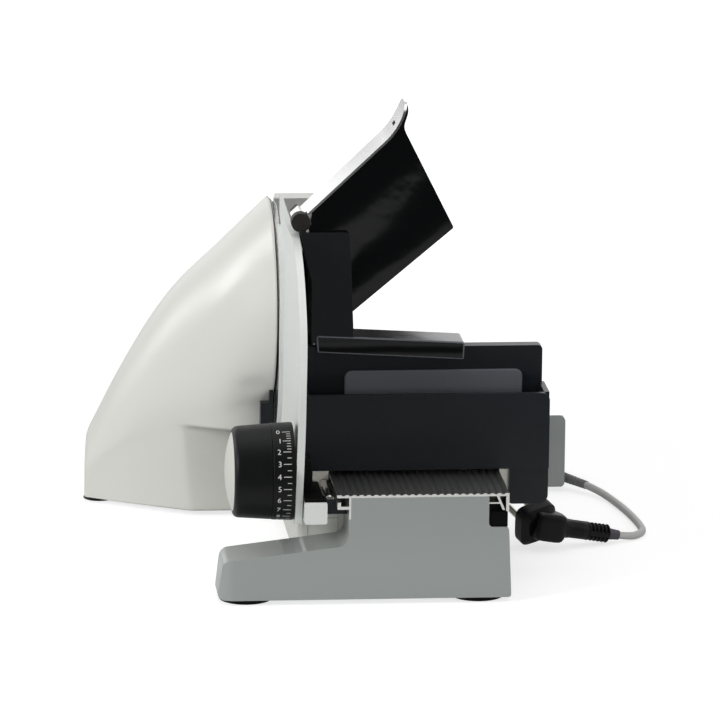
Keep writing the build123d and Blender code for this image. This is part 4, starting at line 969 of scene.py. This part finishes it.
slabs = {
    # black block that fills the front foot's step under the track: painted shade for the dark notch
    "trackSupport": {
        "axis": 1, "ends": (0.9, 38.3), "edge": 0.5,
        "body": "base", "slot": "dark_plastic", "finish": "bracketBlack",
        "outline": ((122.3, 51.5, 0.5), (122.3, 61.6, 0.8), (134.6, 61.6, 0.8), (134.6, 51.5, 0.5))},
    # cover in the front end of the hollow beam
    "beamCover": {
        "axis": 1, "ends": (38.9, 42), "edge": 0.4,
        "body": "base", "slot": "enamel", "finish": "enamel",
        "outline": ((5.6, 10.1, 1), (5.6, 49.4, 1), (25.8, 49.4, 1), (25.8, 10.1, 1))},
    # wing of the pusher plate towards the blade, cut round to pass inside the hood; its dull near-black
    # finish is painted shade for the band between plate and tower
    "pusherWing": {
        "axis": 0, "ends": (8.4, 14.4), "edge": 0.5,
        "body": "holder", "slot": slotOf["holder_tower"], "finish": "towerShade",
        "outline": ((126, 92, 1), (157.5, 92, 4), (157.5, 188, 14), (146, 203, 9),
                    (129.5, 213, 3), (126, 213, 1))},
}
slabEnd = 0.94  # an end's outline over the full one


def addSlab(name, spec):
    section = easedPath(spec["outline"])
    middle = section.mean(0)
    start, end = spec["ends"]
    edge = spec["edge"]
    along = np.array([start, start, start + edge, end - edge, end, end])
    scale = np.array([0, slabEnd, 1, 1, slabEnd, 0])[:, None, None]
    loops = middle + (section - middle) * scale
    grid = np.insert(loops, spec["axis"], np.broadcast_to(along[:, None], loops.shape[:2]), axis=2)
    addShells(name, [gridShell(grid)], spec["body"], spec["slot"], finish=spec["finish"])


for name, slab in slabs.items():
    addSlab(name, slab)
print("hinge and slabs fitted")

# Floor, world and lamps

stageLook = {
    "paper": (192, 192, 192), "size": 16,
    "glowNear": 0.68, "glowFar": 1, "nearReach": 0.45, "farReach": 1.3, "mirrored": 0.42,
    "frontEdge": (-0.44, -0.26), "frontDark": 0.03,
    "bandNear": (-0.74, -0.62), "bandFar": (-1.14, -1.02), "bandLevel": 0.42,
}


def addCard(name, corners, material):
    mesh = bpy.data.meshes.new(name)
    mesh.from_pydata(corners, [], [(0, 1, 2, 3)])
    mesh.materials.append(material)
    return newObject(name, mesh)


def addFloor(spec):
    material = bpy.data.materials.new("floorPaper")
    material.use_nodes = True
    tree = material.node_tree
    tree.nodes.clear()
    paper = tree.nodes.new("ShaderNodeBsdfDiffuse")
    paper.inputs["Color"].default_value = srgb(*spec["paper"])
    path = tree.nodes.new("ShaderNodeLightPath").outputs
    place = objectPlace(tree)
    parts = tree.nodes.new("ShaderNodeSeparateXYZ")
    feed(tree, parts.inputs[0], place)
    forwards = parts.outputs["Y"]
    # the paper glows for the camera and for mirrors, more so far from the object
    seen = mathNode(tree, "MULTIPLY_ADD", path["Is Glossy Ray"], spec["mirrored"], path["Is Camera Ray"])
    fade = rangeNode(tree, vectorNode(tree, "LENGTH", "Value", place), spec["nearReach"], spec["farReach"],
                     spec["glowNear"], spec["glowFar"])
    glow = tree.nodes.new("ShaderNodeEmission")
    feed(tree, glow.inputs["Strength"], mathNode(tree, "MULTIPLY", seen, fade))
    total = tree.nodes.new("ShaderNodeAddShader")
    # mirrors see the paper end in front of the object, where the studio is dark, and a pale strip beyond
    stripNear = rangeNode(tree, forwards, *spec["bandNear"], 1, 0)
    stripFar = rangeNode(tree, forwards, *spec["bandFar"], 0, spec["bandLevel"])
    dark = tree.nodes.new("ShaderNodeEmission")
    strip = mathNode(tree, "MULTIPLY_ADD", stripNear, stripFar, spec["frontDark"])
    feed(tree, dark.inputs["Strength"], strip)
    beyond = rangeNode(tree, forwards, *spec["frontEdge"], 1, 0)
    choose = tree.nodes.new("ShaderNodeMixShader")
    feed(tree, choose.inputs[0], mathNode(tree, "MULTIPLY", beyond, path["Is Glossy Ray"]))
    output = tree.nodes.new("ShaderNodeOutputMaterial")
    for source, target in ((paper, total.inputs[0]), (glow, total.inputs[1]), (total, choose.inputs[1]),
                           (dark, choose.inputs[2]), (choose, output.inputs["Surface"])):
        tree.links.new(source.outputs[0], target)
    half = spec["size"] / 2
    corners = ((-half, -half, 0), (half, -half, 0), (half, half, 0), (-half, half, 0))
    floor = addCard("floor", corners, material)


# Flag: a black card behind the object that only mirrors see, dark in the saddle's top up to a slanting edge
mirrorFlag = {"corners": ((-0.1, 0.5, 0.262), (0.084, 0.5, 0.262), (0.23, 0.5, 0.34), (-0.1, 0.5, 0.34))}


def addFlag(spec):
    flag = addCard("mirrorFlag", spec["corners"], materials["towerShade"])
    for rays in ("camera", "diffuse", "shadow", "transmission"):
        setattr(flag, "visible_" + rays, False)


worldLook = {"fill": 0.32, "seen": 1, "mirrorFront": 0.08, "mirrorBack": 0.6, "mirrorTurn": (-0.6, 0.5)}


def addWorld(spec):
    world = bpy.data.worlds.new("studio")
    bpy.context.scene.world = world
    world.use_nodes = True
    tree = world.node_tree
    back = tree.nodes["Background"]
    back.inputs["Color"].default_value = (1, 1, 1, 1)
    path = tree.nodes.new("ShaderNodeLightPath").outputs
    parts = tree.nodes.new("ShaderNodeSeparateXYZ")
    feed(tree, parts.inputs[0], tree.nodes.new("ShaderNodeTexCoord").outputs["Generated"])
    # even fill for the light itself, white to the camera, darker towards the front in mirrors
    fill = spec["fill"]
    mirror = rangeNode(tree, parts.outputs["Y"], *spec["mirrorTurn"],
                       spec["mirrorFront"] - fill, spec["mirrorBack"] - fill)
    shown = mathNode(tree, "MULTIPLY", path["Is Glossy Ray"], mirror)
    level = mathNode(tree, "MULTIPLY_ADD", path["Is Camera Ray"], spec["seen"] - fill, fill)
    feed(tree, back.inputs["Strength"], mathNode(tree, "ADD", level, shown))


lamps = {
    "topSoftbox": {"place": (0, 0.1, 1.9), "aim": (0, 0, 0.1), "size": (1.6, 1.6), "watts": 8.8},
    "keySoftbox": {"place": (-2.1, -1.1, 1.1), "aim": (0, 0, 0.12), "size": (1, 1), "watts": 35.5},
    "frontFill": {
        "place": (0.35, -2.4, 0.55), "aim": (0, 0, 0.1), "size": (1.2, 0.5), "watts": 13, "noMirrors": True},
    "rightFill": {"place": (1.9, -0.6, 1), "aim": (0, 0, 0.1), "size": (1.2, 1.2), "watts": 5.5},
    "backPanel": {
        "place": (0, 2.7, 0.85), "aim": (0, 0, 0.25), "size": (3.2, 1.5), "watts": 11.5, "mirrorsOnly": True},
    "shineSoftbox": {
        "place": (-2.12, 1.15, 1.08), "aim": (-0.07, 0.05, 0.16), "size": (0.8, 0.8), "watts": 16,
        "mirrorsOnly": True},
}


def addLamp(name, spec):
    light = bpy.data.lights.new(name, "AREA")
    light.shape = "RECTANGLE"
    light.size, light.size_y = spec["size"]
    light.energy = spec["watts"]
    lamp = newObject(name, light)
    lamp.location = spec["place"]
    away = Vector(spec["place"]) - Vector(spec["aim"])
    lamp.rotation_mode = "QUATERNION"
    lamp.rotation_quaternion = away.to_track_quat("Z", "Y")
    lamp.visible_camera = False
    lamp.visible_diffuse = not spec.get("mirrorsOnly")
    lamp.visible_glossy = not spec.get("noMirrors")


addFloor(stageLook)
addFlag(mirrorFlag)
addWorld(worldLook)
for name, lamp in lamps.items():
    addLamp(name, lamp)
bpy.context.scene.view_settings.view_transform = "Standard"
print("stage lit")
